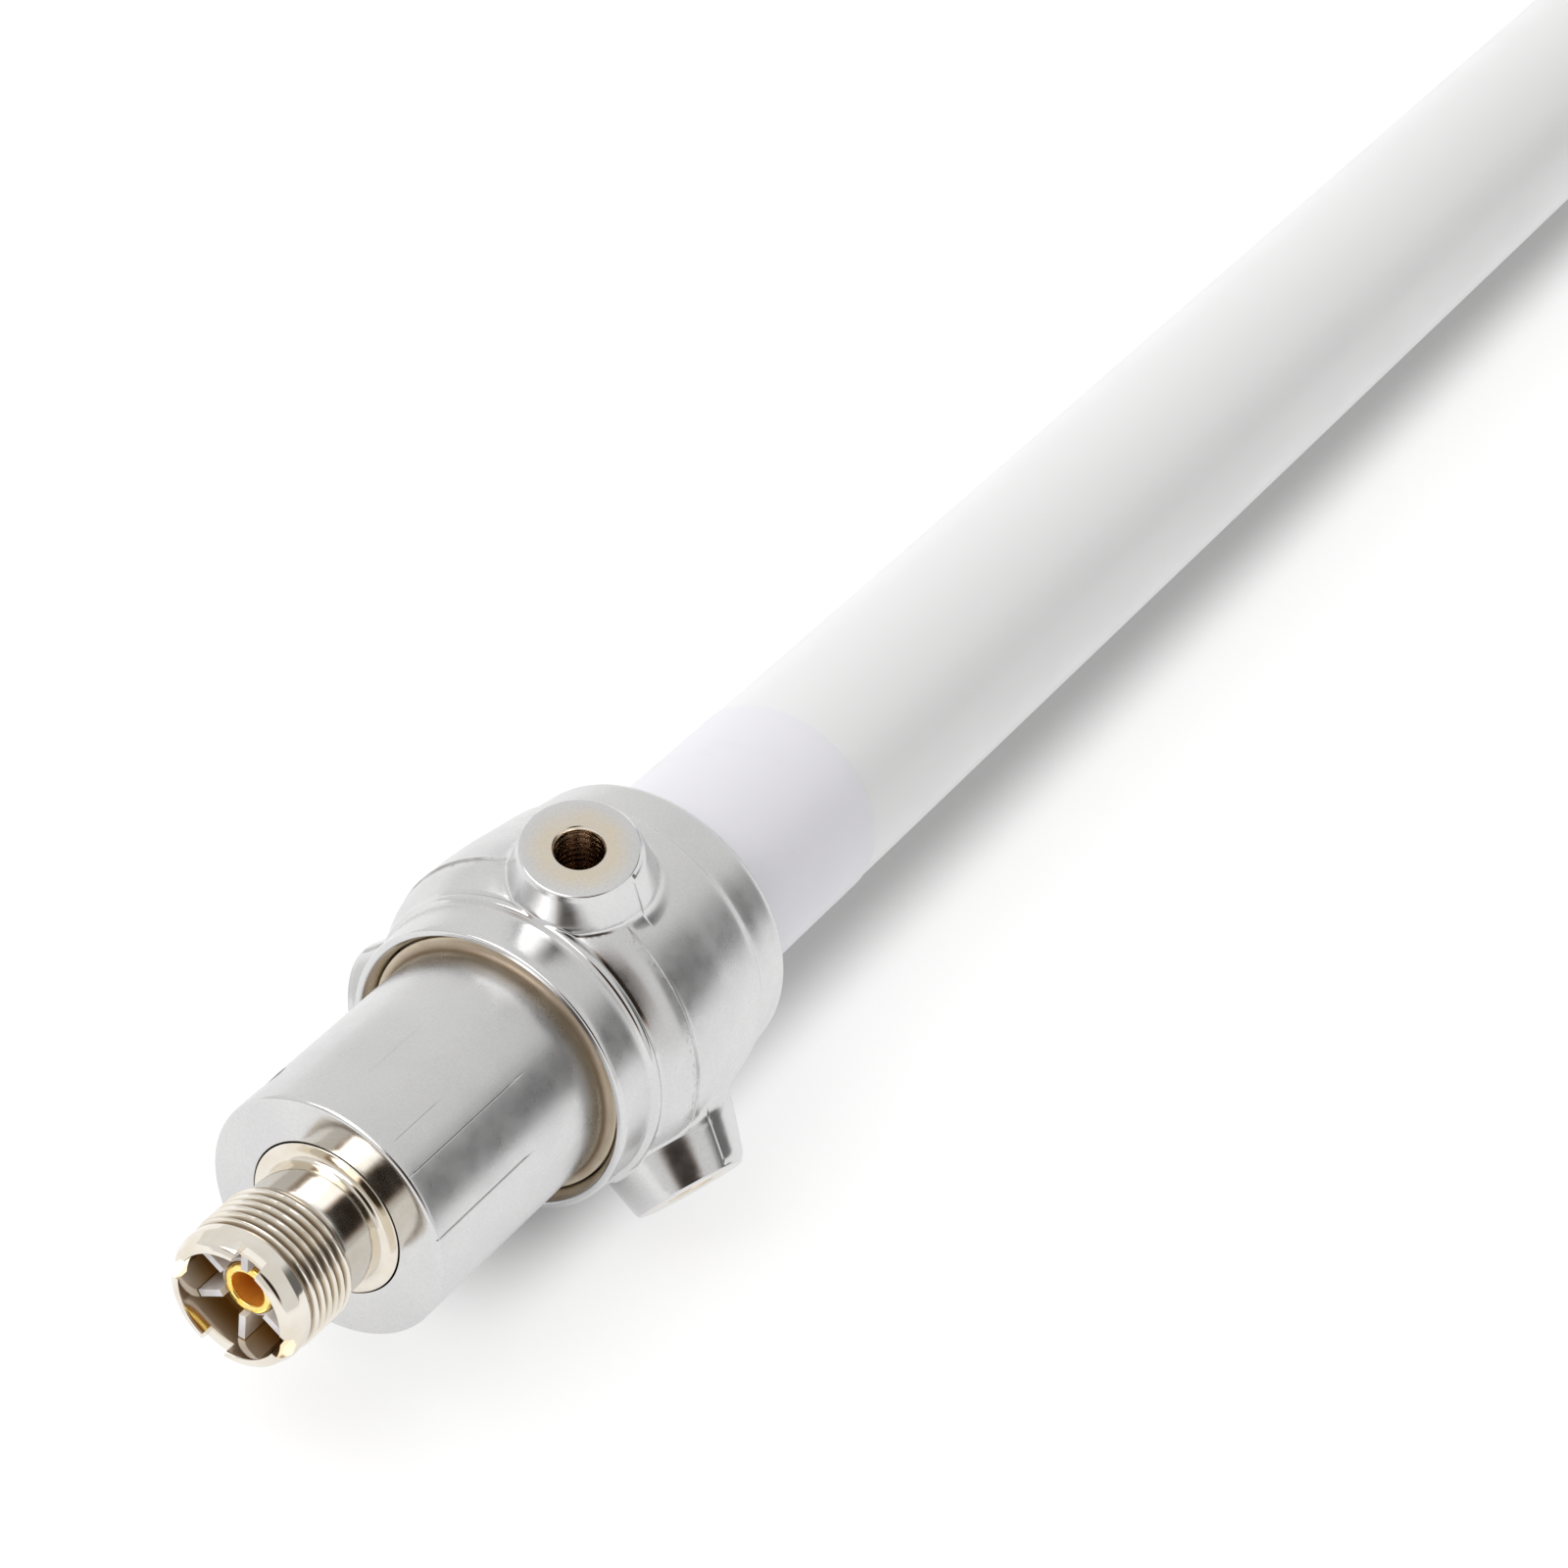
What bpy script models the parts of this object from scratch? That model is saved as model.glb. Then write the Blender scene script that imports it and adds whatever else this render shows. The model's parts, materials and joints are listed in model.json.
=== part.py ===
"""Base-station omnidirectional antenna, lying on its hub with the axis along +X.

Stations are distances along the antenna's axis in metres, counted from the polished
front face of the base sleeve: negative towards the connector, positive towards the tip.
Angles round the axis are counted from straight up (+Z) towards +Y.
"""
import math

import bmesh
import bpy
from mathutils import Matrix, Vector

MM = 0.001
GAP = 0.3 * MM                    # clearance between neighbouring pieces

# overall
OVERALL_LENGTH = 1300 * MM
CONNECTOR_PROUD = 16.2 * MM       # connector rim ahead of the sleeve's front face
HUB_RADIUS = 19.7 * MM            # the antenna lies on its hub, so this is the axis height
FRONT_X = -OVERALL_LENGTH / 2 + CONNECTOR_PROUD
AXIS_Z = HUB_RADIUS

# connector, a UHF socket with a 5/8-24 thread
THREAD_RADIUS = 7.94 * MM
THREAD_ROOT_RADIUS = 7.3 * MM
THREAD_PITCH = 1.058 * MM
THREAD_TURNS = 6
THREAD_START = -12.3 * MM
SOCKET_RADIUS = 6.2 * MM
NECK_RADIUS = 8.35 * MM           # plain neck between the thread and the sleeve
SHOULDER_RADIUS = 8.95 * MM       # shoulder that sits in the sleeve's front, almost flush
SHOULDER_FRONT = -0.1 * MM
SHANK_RADIUS = 6.5 * MM
SHANK_END = 15.0 * MM
CORE_RADIUS = 4.5 * MM            # rear bore of the connector shell
INSULATOR_FRONT = -13.8 * MM
INSULATOR_FLOOR = -9.0 * MM       # bottom of the pockets between its spokes
INSULATOR_SEAT = -6.4 * MM
SPOKE_WIDTH = 1.0 * MM
SPOKE_ANGLE = math.radians(5)
CONTACT_RADIUS = 2.95 * MM
CONTACT_BORE = 1.98 * MM
CONTACT_FRONT = -13.1 * MM
CONTACT_END = 19.0 * MM
NOTCH_WIDTH = 3.0 * MM
NOTCH_DEPTH = 1.5 * MM
NOTCH_ANGLE = math.radians(-10)

# base sleeve
SLEEVE_RADIUS = 14.2 * MM
SLEEVE_WALL_END = 9.0 * MM        # thickness of its front wall
SLEEVE_STEP = 4.3 * MM            # depth of the bore that takes the connector's shoulder
SLEEVE_END = 56.0 * MM
PIPE_STOP = 29.7 * MM             # collar face that the support pipe butts on
COLLAR_RADIUS = 15.45 * MM
COLLAR_END = 34.0 * MM
COLLAR_FILLET = 0.6 * MM
CAVITY_RADIUS = 11.0 * MM
PIPE_SCREW_RADIUS = 1.65 * MM
PIPE_SCREW_STATION = 5.9 * MM
PIPE_SCREW_ANGLE = math.radians(60)

# radial ring
SKIRT_RIM = 28.3 * MM
SKIRT_RADIUS = 17.1 * MM
RIM_BORE = 16.3 * MM              # the skirt's mouth, which narrows to the collar's bore
RING_BORE = SLEEVE_RADIUS + GAP
RING_END = 61.0 * MM
BOSS_STATION = 39.6 * MM          # centre of a boss's end face
BOSS_REACH = 24.2 * MM            # the same, from the axis
BOSS_TILT = math.radians(14.5)    # lean of the bosses towards the connector
BOSS_RADIUS = 6.4 * MM
BOSS_FOOT_RADIUS = 8.9 * MM       # the boss widens towards its foot, most at the rear
BOSS_FOOT_SHIFT = 0.5 * MM
BOSS_DEPTH = 9.0 * MM             # end face to foot
BOSS_EDGE = 0.35 * MM
BOSS_HOLE_RADIUS = 2.65 * MM
BOSS_HOLE_DEPTH = 8.0 * MM
BOSS_ANGLES = [math.radians(a) for a in (0, -120, 120)]
BOSS_TURN = Matrix.Rotation(math.radians(4), 4, "Z")    # keeps its facets off the hub's

# hub and skirt outline between the rear corner and the rim: (station, radius) in mm
HUB_OUTLINE = [
    (56.2, 17.75), (54.8, 17.9), (53.4, 18.45),      # rear shoulder and its step
    (47.6, 19.15), (43.8, 19.6),                     # barrel, widest at the bosses
    (39.1, HUB_RADIUS / MM),
    (37.4, 19.5), (35.9, 18.8), (34.9, 18.15),
    (34.5, 17.95), (34.0, 18.1), (33.4, 18.0), (33.0, 17.45),   # bead behind the skirt
    (30.2, 17.25),
]
RING_CORNER = 2.0 * MM            # rounding of the rear corner
RING_CORNER_RADIUS = 15.4 * MM    # where that rounding starts on the rear face
RIM_ROUND = 0.4 * MM              # rounding of the skirt's rim
SEAL_WIDTH = 1.6 * MM
SEAL_DEPTH = 2.0 * MM

# radome
TUBE_RADIUS = 12.5 * MM
TUBE_BORE = 10.9 * MM
TUBE_START = 34.5 * MM
TIP = OVERALL_LENGTH - CONNECTOR_PROUD
CAP_RADIUS = 13.4 * MM
CAP_LENGTH = 24.0 * MM
TUBE_END = TIP - 3.6 * MM
LABEL_START = 61.8 * MM
LABEL_END = 87.0 * MM
LABEL_THICKNESS = 0.15 * MM

# radiating parts
CORE_FIT_RADIUS = TUBE_BORE - GAP
ROD_RADIUS = 1.2 * MM
BUSHING_START = 46.0 * MM
BUSHING_LENGTH = 12.0 * MM
LOWER_ROD_START = 41.0 * MM
LOWER_ROD_END = 596.0 * MM
FORMER_START = 588.0 * MM
FORMER_END = 656.0 * MM
FORMER_RADIUS = 5.0 * MM
UPPER_ROD_START = 648.0 * MM
UPPER_ROD_END = 1240.0 * MM
SPACER_STATIONS = [s * MM for s in (220, 420, 820, 1040)]
SPACER_LENGTH = 14.0 * MM
CUSHION_START = 1232.0 * MM
CUSHION_END = 1256.0 * MM

ROUND_STEPS = 48                  # facets round the big turned pieces
CONNECTOR_STEPS = 32
CORE_STEPS = 20                   # facets round the pieces inside the radome


# ---------------------------------------------------------------- set-up
def clear_scene():
    for obj in list(bpy.data.objects):
        bpy.data.objects.remove(obj, do_unlink=True)


def new_collection(name):
    collection = bpy.data.collections.new(name)
    bpy.context.scene.collection.children.link(collection)
    return collection


def material(name, color, roughness, metallic=0.0):
    mat = bpy.data.materials.new(name)
    mat.use_nodes = True
    shader = mat.node_tree.nodes["Principled BSDF"]
    shader.inputs["Base Color"].default_value = (*color, 1.0)
    shader.inputs["Roughness"].default_value = roughness
    shader.inputs["Metallic"].default_value = metallic
    mat.diffuse_color = (*color, 1.0)
    return mat


def along(station):
    """Point on the antenna's axis at a station."""
    return Vector((FRONT_X + station, 0.0, AXIS_Z))


def outward(angle):
    """Unit vector away from the axis at an angle from straight up towards +Y."""
    return Vector((0.0, math.sin(angle), math.cos(angle)))


AXIAL = Matrix.Rotation(math.pi / 2, 4, "Y")     # local +Z to the antenna's +X


def axial_place(station=0.0):
    return Matrix.Translation(along(station)) @ AXIAL


def radial_place(station, angle):
    """Local +Z points away from the axis at the given angle."""
    return Matrix.Translation(along(station)) @ Matrix.Rotation(-angle, 4, "X")


# ---------------------------------------------------------------- shapes
def add_object(name, mesh, place, mat=None, collection=None):
    obj = bpy.data.objects.new(name, mesh)
    (collection or PARTS).objects.link(obj)
    obj.matrix_world = place
    if mat:
        mesh.materials.append(mat)
    return obj


def turned(name, outline, mat=None, steps=ROUND_STEPS, place=None, collection=None, closed=True):
    """Turned piece: outline is (height, radius), from the top down the outer side.

    A closed outline is a ring's section. An open one starts and ends on the axis.
    """
    mesh = bpy.data.meshes.new(name)
    points = [(radius, 0.0, height) for height, radius in outline]
    edges = [(i, i + 1) for i in range(len(points) - 1)]
    if closed:
        edges.append((len(points) - 1, 0))
    mesh.from_pydata(points, edges, [])
    obj = add_object(name, mesh, place or axial_place(), mat, collection)
    screw = obj.modifiers.new("turn", "SCREW")
    screw.axis = "Z"
    screw.steps = steps
    screw.render_steps = steps
    screw.use_merge_vertices = True
    screw.merge_threshold = 0.00001
    screw.use_smooth_shade = True
    return obj


def disc(name, start, end, radius, bore, mat, steps=CORE_STEPS):
    """Plain turned ring between two stations."""
    outline = [(end, radius), (start, radius), (start, bore), (end, bore)]
    return turned(name, outline, mat, steps)


def rod(name, start, end, radius, mat, steps=12):
    outline = [(end, 0.0), (end, radius), (start, radius), (start, 0.0)]
    return turned(name, outline, mat, steps, closed=False)


def as_cutter(obj):
    obj.hide_render = True
    obj.display_type = "WIRE"
    return obj


def box(name, size, place, mat=None, collection=None):
    mesh = bpy.data.meshes.new(name)
    bm = bmesh.new()
    bmesh.ops.create_cube(bm, size=1.0)
    bmesh.ops.scale(bm, vec=Vector(size), verts=bm.verts)
    bm.to_mesh(mesh)
    bm.free()
    return add_object(name, mesh, place, mat, collection)


def boolean(obj, other, operation):
    mod = obj.modifiers.new(other.name, "BOOLEAN")
    mod.operation = operation
    mod.solver = "EXACT"
    mod.object = other


def hole(name, radius, top, bottom, place, steps=24):
    """Cutter for a round hole along its own +Z, with a slight countersink at the top."""
    sink = 0.4 * MM
    outline = [(top + sink, 0.0), (top + sink, radius + 2 * sink), (top - sink, radius),
               (bottom, radius), (bottom, 0.0)]
    return as_cutter(turned(name, outline, steps=steps, place=place, collection=CUTTERS, closed=False))


def arc(centre_height, centre_radius, size, start_deg, end_deg, count):
    """Outline points on a round corner; 0 degrees points outwards, 90 degrees up."""
    points = []
    for i in range(count + 1):
        a = math.radians(start_deg + (end_deg - start_deg) * i / count)
        points.append((centre_height + size * math.sin(a), centre_radius + size * math.cos(a)))
    return points


def helix_wire(name, start, end, coil_radius, wire_radius, turns, mat, lead=2.0 * MM):
    """Round wire wound about the axis, with a short straight lead at each end."""
    curve = bpy.data.curves.new(name, "CURVE")
    curve.dimensions = "3D"
    curve.bevel_depth = wire_radius
    curve.bevel_resolution = 2
    curve.use_fill_caps = True
    per_turn = 10
    count = turns * per_turn
    points = [along(start - lead) + coil_radius * outward(0.0)]
    for i in range(count + 1):
        station = start + (end - start) * i / count
        points.append(along(station) + coil_radius * outward(2 * math.pi * i / per_turn))
    points.append(along(end + lead) + coil_radius * outward(0.0))
    spline = curve.splines.new("POLY")
    spline.points.add(len(points) - 1)
    for target, point in zip(spline.points, points):
        target.co = (*point, 1.0)
    curve.materials.append(mat)
    obj = bpy.data.objects.new(name, curve)
    PARTS.objects.link(obj)
    return obj


# ---------------------------------------------------------------- connector
def thread_outline():
    """Crests and roots of the coupling thread, from its rear end to its front end."""
    points = []
    for i in range(THREAD_TURNS):
        rear_root = THREAD_START + (THREAD_TURNS - i) * THREAD_PITCH
        points.append((rear_root, THREAD_ROOT_RADIUS))
        points.append((rear_root - 0.40 * THREAD_PITCH, THREAD_RADIUS))
        points.append((rear_root - 0.60 * THREAD_PITCH, THREAD_RADIUS))
    points.append((THREAD_START, THREAD_ROOT_RADIUS))
    return points


def make_connector():
    nickel = material("nickel_plate", (0.74, 0.69, 0.61), 0.22, 1.0)
    gold = material("gold_plate", (0.95, 0.68, 0.22), 0.22, 1.0)
    ivory = material("ivory_dielectric", (0.82, 0.80, 0.76), 0.45)
    rubber = material("black_rubber", (0.03, 0.03, 0.03), 0.7)
    steel = material("zinc_steel", (0.62, 0.62, 0.64), 0.35, 1.0)
    rim = -CONNECTOR_PROUD
    shoulder_end = SLEEVE_STEP - 1.1 * MM
    thread_end = THREAD_START + THREAD_TURNS * THREAD_PITCH
    outline = [(SHANK_END, SHANK_RADIUS - 0.4 * MM), (SHANK_END - 0.4 * MM, SHANK_RADIUS),
               (shoulder_end, SHANK_RADIUS), (shoulder_end, SHOULDER_RADIUS),
               (SHOULDER_FRONT, SHOULDER_RADIUS), (SHOULDER_FRONT, NECK_RADIUS),
               (thread_end + 0.5 * MM, NECK_RADIUS), (thread_end + 0.3 * MM, NECK_RADIUS - 0.2 * MM),
               (thread_end + 0.3 * MM, THREAD_ROOT_RADIUS)]
    outline += thread_outline()
    outline += [(THREAD_START - 0.35 * MM, THREAD_ROOT_RADIUS + 0.2 * MM),
                (THREAD_START - 0.7 * MM, THREAD_RADIUS - 0.15 * MM),
                (rim + 1.5 * MM, THREAD_RADIUS - 0.35 * MM)]
    outline += arc(rim + 0.7 * MM, 6.95 * MM, 0.7 * MM, 0, -90, 4)[:-1]
    outline += [(rim, 6.9 * MM), (rim, SOCKET_RADIUS), (INSULATOR_SEAT, SOCKET_RADIUS),
                (INSULATOR_SEAT, CORE_RADIUS), (SHANK_END, CORE_RADIUS)]
    shell = turned("connector_shell", outline, nickel, CONNECTOR_STEPS)
    for i in range(2):
        angle = NOTCH_ANGLE + i * math.pi / 2
        place = Matrix.Translation(along(rim)) @ Matrix.Rotation(-angle, 4, "X")
        notch = box(f"notch_cutter_{i + 1}", (2 * NOTCH_DEPTH, NOTCH_WIDTH, 4 * THREAD_RADIUS),
                    place, collection=CUTTERS)
        boolean(shell, as_cutter(notch), "DIFFERENCE")

    # dielectric: a hub with six spokes on a disc, and a long neck in the rear bore
    head = SOCKET_RADIUS - GAP
    neck = CORE_RADIUS - GAP
    neck_end = SHANK_END + 0.6 * MM
    hub = CONTACT_RADIUS + 1.0 * MM
    outline = [(neck_end, 0.0), (neck_end, neck), (INSULATOR_SEAT - GAP, neck),
               (INSULATOR_SEAT - GAP, head), (INSULATOR_FLOOR, head), (INSULATOR_FLOOR, hub),
               (INSULATOR_FRONT, hub), (INSULATOR_FRONT, 0.0)]
    insulator = turned("connector_insulator", outline, ivory, CONNECTOR_STEPS, closed=False)
    depth = INSULATOR_FLOOR - INSULATOR_FRONT
    for i in range(3):
        angle = SPOKE_ANGLE + i * math.pi / 3
        place = (Matrix.Translation(along(INSULATOR_FRONT + depth / 2 + 0.1 * MM))
                 @ Matrix.Rotation(-angle, 4, "X"))
        spoke = box(f"spoke_{i + 1}", (depth, SPOKE_WIDTH, 2 * head - 0.2 * MM), place, collection=CUTTERS)
        boolean(insulator, as_cutter(spoke), "UNION")
    bore = CONTACT_RADIUS + GAP
    outline = [(2 * neck_end, 0.0), (2 * neck_end, bore),
               (2 * INSULATOR_FRONT, bore), (2 * INSULATOR_FRONT, 0.0)]
    cutter = turned("contact_bore_cutter", outline, steps=CORE_STEPS, collection=CUTTERS, closed=False)
    boolean(insulator, as_cutter(cutter), "DIFFERENCE")

    # centre contact: an open socket in front and a solder cup behind
    cup_start = CONTACT_END - 3.0 * MM
    cup_radius = CONTACT_RADIUS - 0.9 * MM
    cup_bore = 1.4 * MM
    lip = 0.3 * MM
    socket_end = CONTACT_FRONT + 11.0 * MM
    outline = [(cup_start + lip, 0.0), (cup_start + lip, cup_bore), (CONTACT_END, cup_bore),
               (CONTACT_END, cup_radius), (cup_start, cup_radius), (cup_start, CONTACT_RADIUS),
               (CONTACT_FRONT + lip, CONTACT_RADIUS), (CONTACT_FRONT, CONTACT_RADIUS - lip),
               (CONTACT_FRONT, CONTACT_BORE + lip), (CONTACT_FRONT + lip, CONTACT_BORE),
               (socket_end, CONTACT_BORE), (socket_end + 0.8 * MM, 0.0)]
    turned("connector_contact", outline, gold, CORE_STEPS, closed=False)

    disc("connector_gasket", SLEEVE_STEP - 0.8 * MM, SLEEVE_STEP - GAP, SHOULDER_RADIUS - 0.1 * MM,
         SHANK_RADIUS + GAP, rubber)
    disc("ground_washer", SLEEVE_WALL_END + GAP, SLEEVE_WALL_END + 0.9 * MM, 9.4 * MM,
         SHANK_RADIUS + GAP, steel)

    nut_start = SLEEVE_WALL_END + 1.2 * MM
    nut_length = 3.2 * MM
    mesh = bpy.data.meshes.new("connector_nut")
    bm = bmesh.new()
    bmesh.ops.create_cone(bm, cap_ends=True, segments=6, radius1=9.9 * MM, radius2=9.9 * MM, depth=nut_length)
    bm.to_mesh(mesh)
    bm.free()
    nut = add_object("connector_nut", mesh, axial_place(nut_start + nut_length / 2), nickel)
    bore_cutter = turned("nut_bore_cutter", [(nut_length, 0.0), (nut_length, SHANK_RADIUS + GAP),
                                             (-nut_length, SHANK_RADIUS + GAP), (-nut_length, 0.0)],
                         steps=CORE_STEPS, place=axial_place(nut_start + nut_length / 2),
                         collection=CUTTERS, closed=False)
    boolean(nut, as_cutter(bore_cutter), "DIFFERENCE")


# ---------------------------------------------------------------- base
def make_base_sleeve(chrome):
    edge = 0.5 * MM
    socket = TUBE_RADIUS + GAP
    outline = [(SLEEVE_END, SLEEVE_RADIUS), (COLLAR_END, SLEEVE_RADIUS), (COLLAR_END, COLLAR_RADIUS),
               (PIPE_STOP, COLLAR_RADIUS)]
    outline += arc(PIPE_STOP - COLLAR_FILLET, SLEEVE_RADIUS + COLLAR_FILLET, -COLLAR_FILLET, -90, 0, 4)
    outline += arc(edge, SLEEVE_RADIUS - edge, edge, 0, -90, 5)
    outline += [(0.0, SHOULDER_RADIUS + GAP), (SLEEVE_STEP, SHOULDER_RADIUS + GAP),
                (SLEEVE_STEP, SHANK_RADIUS + GAP), (SLEEVE_WALL_END, SHANK_RADIUS + GAP),
                (SLEEVE_WALL_END, CAVITY_RADIUS), (TUBE_START - GAP, CAVITY_RADIUS),
                (TUBE_START - GAP, socket), (SLEEVE_END, socket)]
    sleeve = turned("base_sleeve", outline, chrome)
    cutter = hole("pipe_screw_cutter", PIPE_SCREW_RADIUS, SLEEVE_RADIUS, SLEEVE_RADIUS - 3.6 * MM,
                  radial_place(PIPE_SCREW_STATION, PIPE_SCREW_ANGLE), steps=16)
    boolean(sleeve, cutter, "DIFFERENCE")


def make_boss(name, place):
    """Tapered boss whose end face is centred on the place's origin, square to its +Z."""
    mesh = bpy.data.meshes.new(name)
    bm = bmesh.new()
    bmesh.ops.create_cone(bm, cap_ends=True, segments=CORE_STEPS, radius1=BOSS_FOOT_RADIUS,
                          radius2=BOSS_RADIUS, depth=BOSS_DEPTH)
    rim = []
    for vert in bm.verts:
        if vert.co.z < 0.0:
            vert.co.x += BOSS_FOOT_SHIFT
        else:
            rim.append(vert)
    edges = [edge for edge in bm.edges if edge.verts[0] in rim and edge.verts[1] in rim]
    bmesh.ops.translate(bm, vec=Vector((0.0, 0.0, -BOSS_DEPTH / 2)), verts=bm.verts)
    bmesh.ops.bevel(bm, geom=edges, offset=BOSS_EDGE, segments=2, profile=0.5, affect="EDGES")
    bm.to_mesh(mesh)
    bm.free()
    return add_object(name, mesh, place, collection=CUTTERS)


def make_radial_ring(chrome):
    """Die-cast ring: a drip skirt over the pipe's end, a hub and three radial bosses."""
    outline = [(RING_END, 0.0)]
    outline += arc(RING_END - RING_CORNER, RING_CORNER_RADIUS, RING_CORNER, 90, 0, 4)
    outline += [(station * MM, radius * MM) for station, radius in HUB_OUTLINE]
    outline += arc(SKIRT_RIM + RIM_ROUND, SKIRT_RADIUS - RIM_ROUND, RIM_ROUND, 0, -90, 3)
    outline += [(SKIRT_RIM, 0.0)]
    ring = turned("radial_ring", outline, chrome, closed=False)
    places = [radial_place(BOSS_STATION, angle) @ Matrix.Translation((0.0, 0.0, BOSS_REACH))
              @ Matrix.Rotation(-BOSS_TILT, 4, "Y") @ BOSS_TURN for angle in BOSS_ANGLES]
    for index, place in enumerate(places):
        boolean(ring, as_cutter(make_boss(f"boss_{index + 1}", place)), "UNION")
    for index, place in enumerate(places):
        cutter = hole(f"boss_hole_cutter_{index + 1}", BOSS_HOLE_RADIUS, 0.0, -BOSS_HOLE_DEPTH,
                      place, steps=16)
        boolean(ring, cutter, "DIFFERENCE")

    rear_bore = TUBE_RADIUS + GAP
    seal_bore = rear_bore + SEAL_WIDTH
    collar_bore = COLLAR_RADIUS + GAP
    beyond = 1.0 * MM
    outline = [(RING_END + beyond, 0.0), (RING_END + beyond, seal_bore),
               (RING_END - SEAL_DEPTH, seal_bore), (RING_END - SEAL_DEPTH, rear_bore),
               (SLEEVE_END + GAP, rear_bore), (SLEEVE_END + GAP, RING_BORE),
               (COLLAR_END + GAP, RING_BORE), (COLLAR_END + GAP, collar_bore),
               (PIPE_STOP, collar_bore), (SKIRT_RIM + RIM_ROUND, RIM_BORE),
               (SKIRT_RIM - RIM_ROUND, RIM_BORE + RIM_ROUND), (SKIRT_RIM - beyond, RIM_BORE + RIM_ROUND),
               (SKIRT_RIM - beyond, 0.0)]
    bore = turned("ring_bore_cutter", outline, collection=CUTTERS, closed=False)
    boolean(ring, as_cutter(bore), "DIFFERENCE")


def make_base():
    chrome = material("satin_chrome", (0.78, 0.78, 0.79), 0.28, 1.0)
    make_base_sleeve(chrome)
    make_radial_ring(chrome)


# ---------------------------------------------------------------- radome
def make_radome():
    fibreglass = material("white_fibreglass", (0.86, 0.87, 0.87), 0.38)
    film = material("blank_film", (0.88, 0.87, 0.93), 0.42)
    rubber = material("grey_rubber", (0.16, 0.16, 0.17), 0.65)
    plastic = material("white_plastic", (0.84, 0.85, 0.85), 0.4)
    outline = [(TUBE_END, TUBE_RADIUS), (TUBE_START, TUBE_RADIUS),
               (TUBE_START, TUBE_BORE), (TUBE_END, TUBE_BORE)]
    turned("radome_tube", outline, fibreglass)
    inner = TUBE_RADIUS + 0.1 * MM
    outline = [(LABEL_END, inner + LABEL_THICKNESS), (LABEL_START, inner + LABEL_THICKNESS),
               (LABEL_START, inner), (LABEL_END, inner)]
    turned("label_film", outline, film)
    clearance = 0.15 * MM
    seal_inner = TUBE_RADIUS + clearance
    seal_outer = TUBE_RADIUS + GAP + SEAL_WIDTH - clearance
    half_width = (seal_outer - seal_inner) / 2
    outline = arc(RING_END - 0.1 * MM, seal_inner + half_width, half_width, 180, 0, 4)
    outline += [(RING_END - SEAL_DEPTH + clearance, seal_outer),
                (RING_END - SEAL_DEPTH + clearance, seal_inner)]
    turned("radome_seal", outline, rubber)

    # cap: a domed cup pushed over the tube's end
    corner = 4.5 * MM
    start = TIP - CAP_LENGTH
    crown = TIP - 0.8 * MM
    outline = [(TIP, 0.0), (TIP - 0.15 * MM, 4.0 * MM)]
    outline += arc(crown - corner, CAP_RADIUS - corner, corner, 85, 0, 5)
    outline += [(start + 1.2 * MM, CAP_RADIUS)]
    outline += [(start, CAP_RADIUS - 0.35 * MM), (start, TUBE_RADIUS + GAP),
                (TUBE_END + GAP, TUBE_RADIUS + GAP), (TUBE_END + GAP, 0.0)]
    turned("top_cap", outline, plastic, closed=False)


# ---------------------------------------------------------------- radiator
def make_matching_section(copper):
    board_mat = material("board_laminate", (0.10, 0.30, 0.14), 0.5)
    ceramic = material("ceramic_disc", (0.72, 0.45, 0.16), 0.55)
    start = 22.0 * MM
    end = 44.0 * MM
    height = -5.8 * MM
    place = Matrix.Translation(along((start + end) / 2) + Vector((0.0, 0.0, height)))
    box("matching_board", (end - start, 15.0 * MM, 1.6 * MM), place, board_mat)    # 1.6 mm laminate
    helix_wire("matching_coil", 26.0 * MM, 37.0 * MM, 4.0 * MM, 0.5 * MM, 5, copper)
    disc_place = Matrix.Translation(along(33.0 * MM) + Vector((0.0, 5.0 * MM, height + 1.1 * MM)))
    outline = [(1.0 * MM, 0.0), (1.0 * MM, 1.3 * MM), (0.5 * MM, 1.7 * MM), (0.0, 1.3 * MM), (0.0, 0.0)]
    turned("matching_capacitor", outline, ceramic, 16, disc_place, closed=False)
    rod("feed_wire", CONTACT_END - 2.4 * MM, 23.6 * MM, 0.6 * MM, copper)


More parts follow.
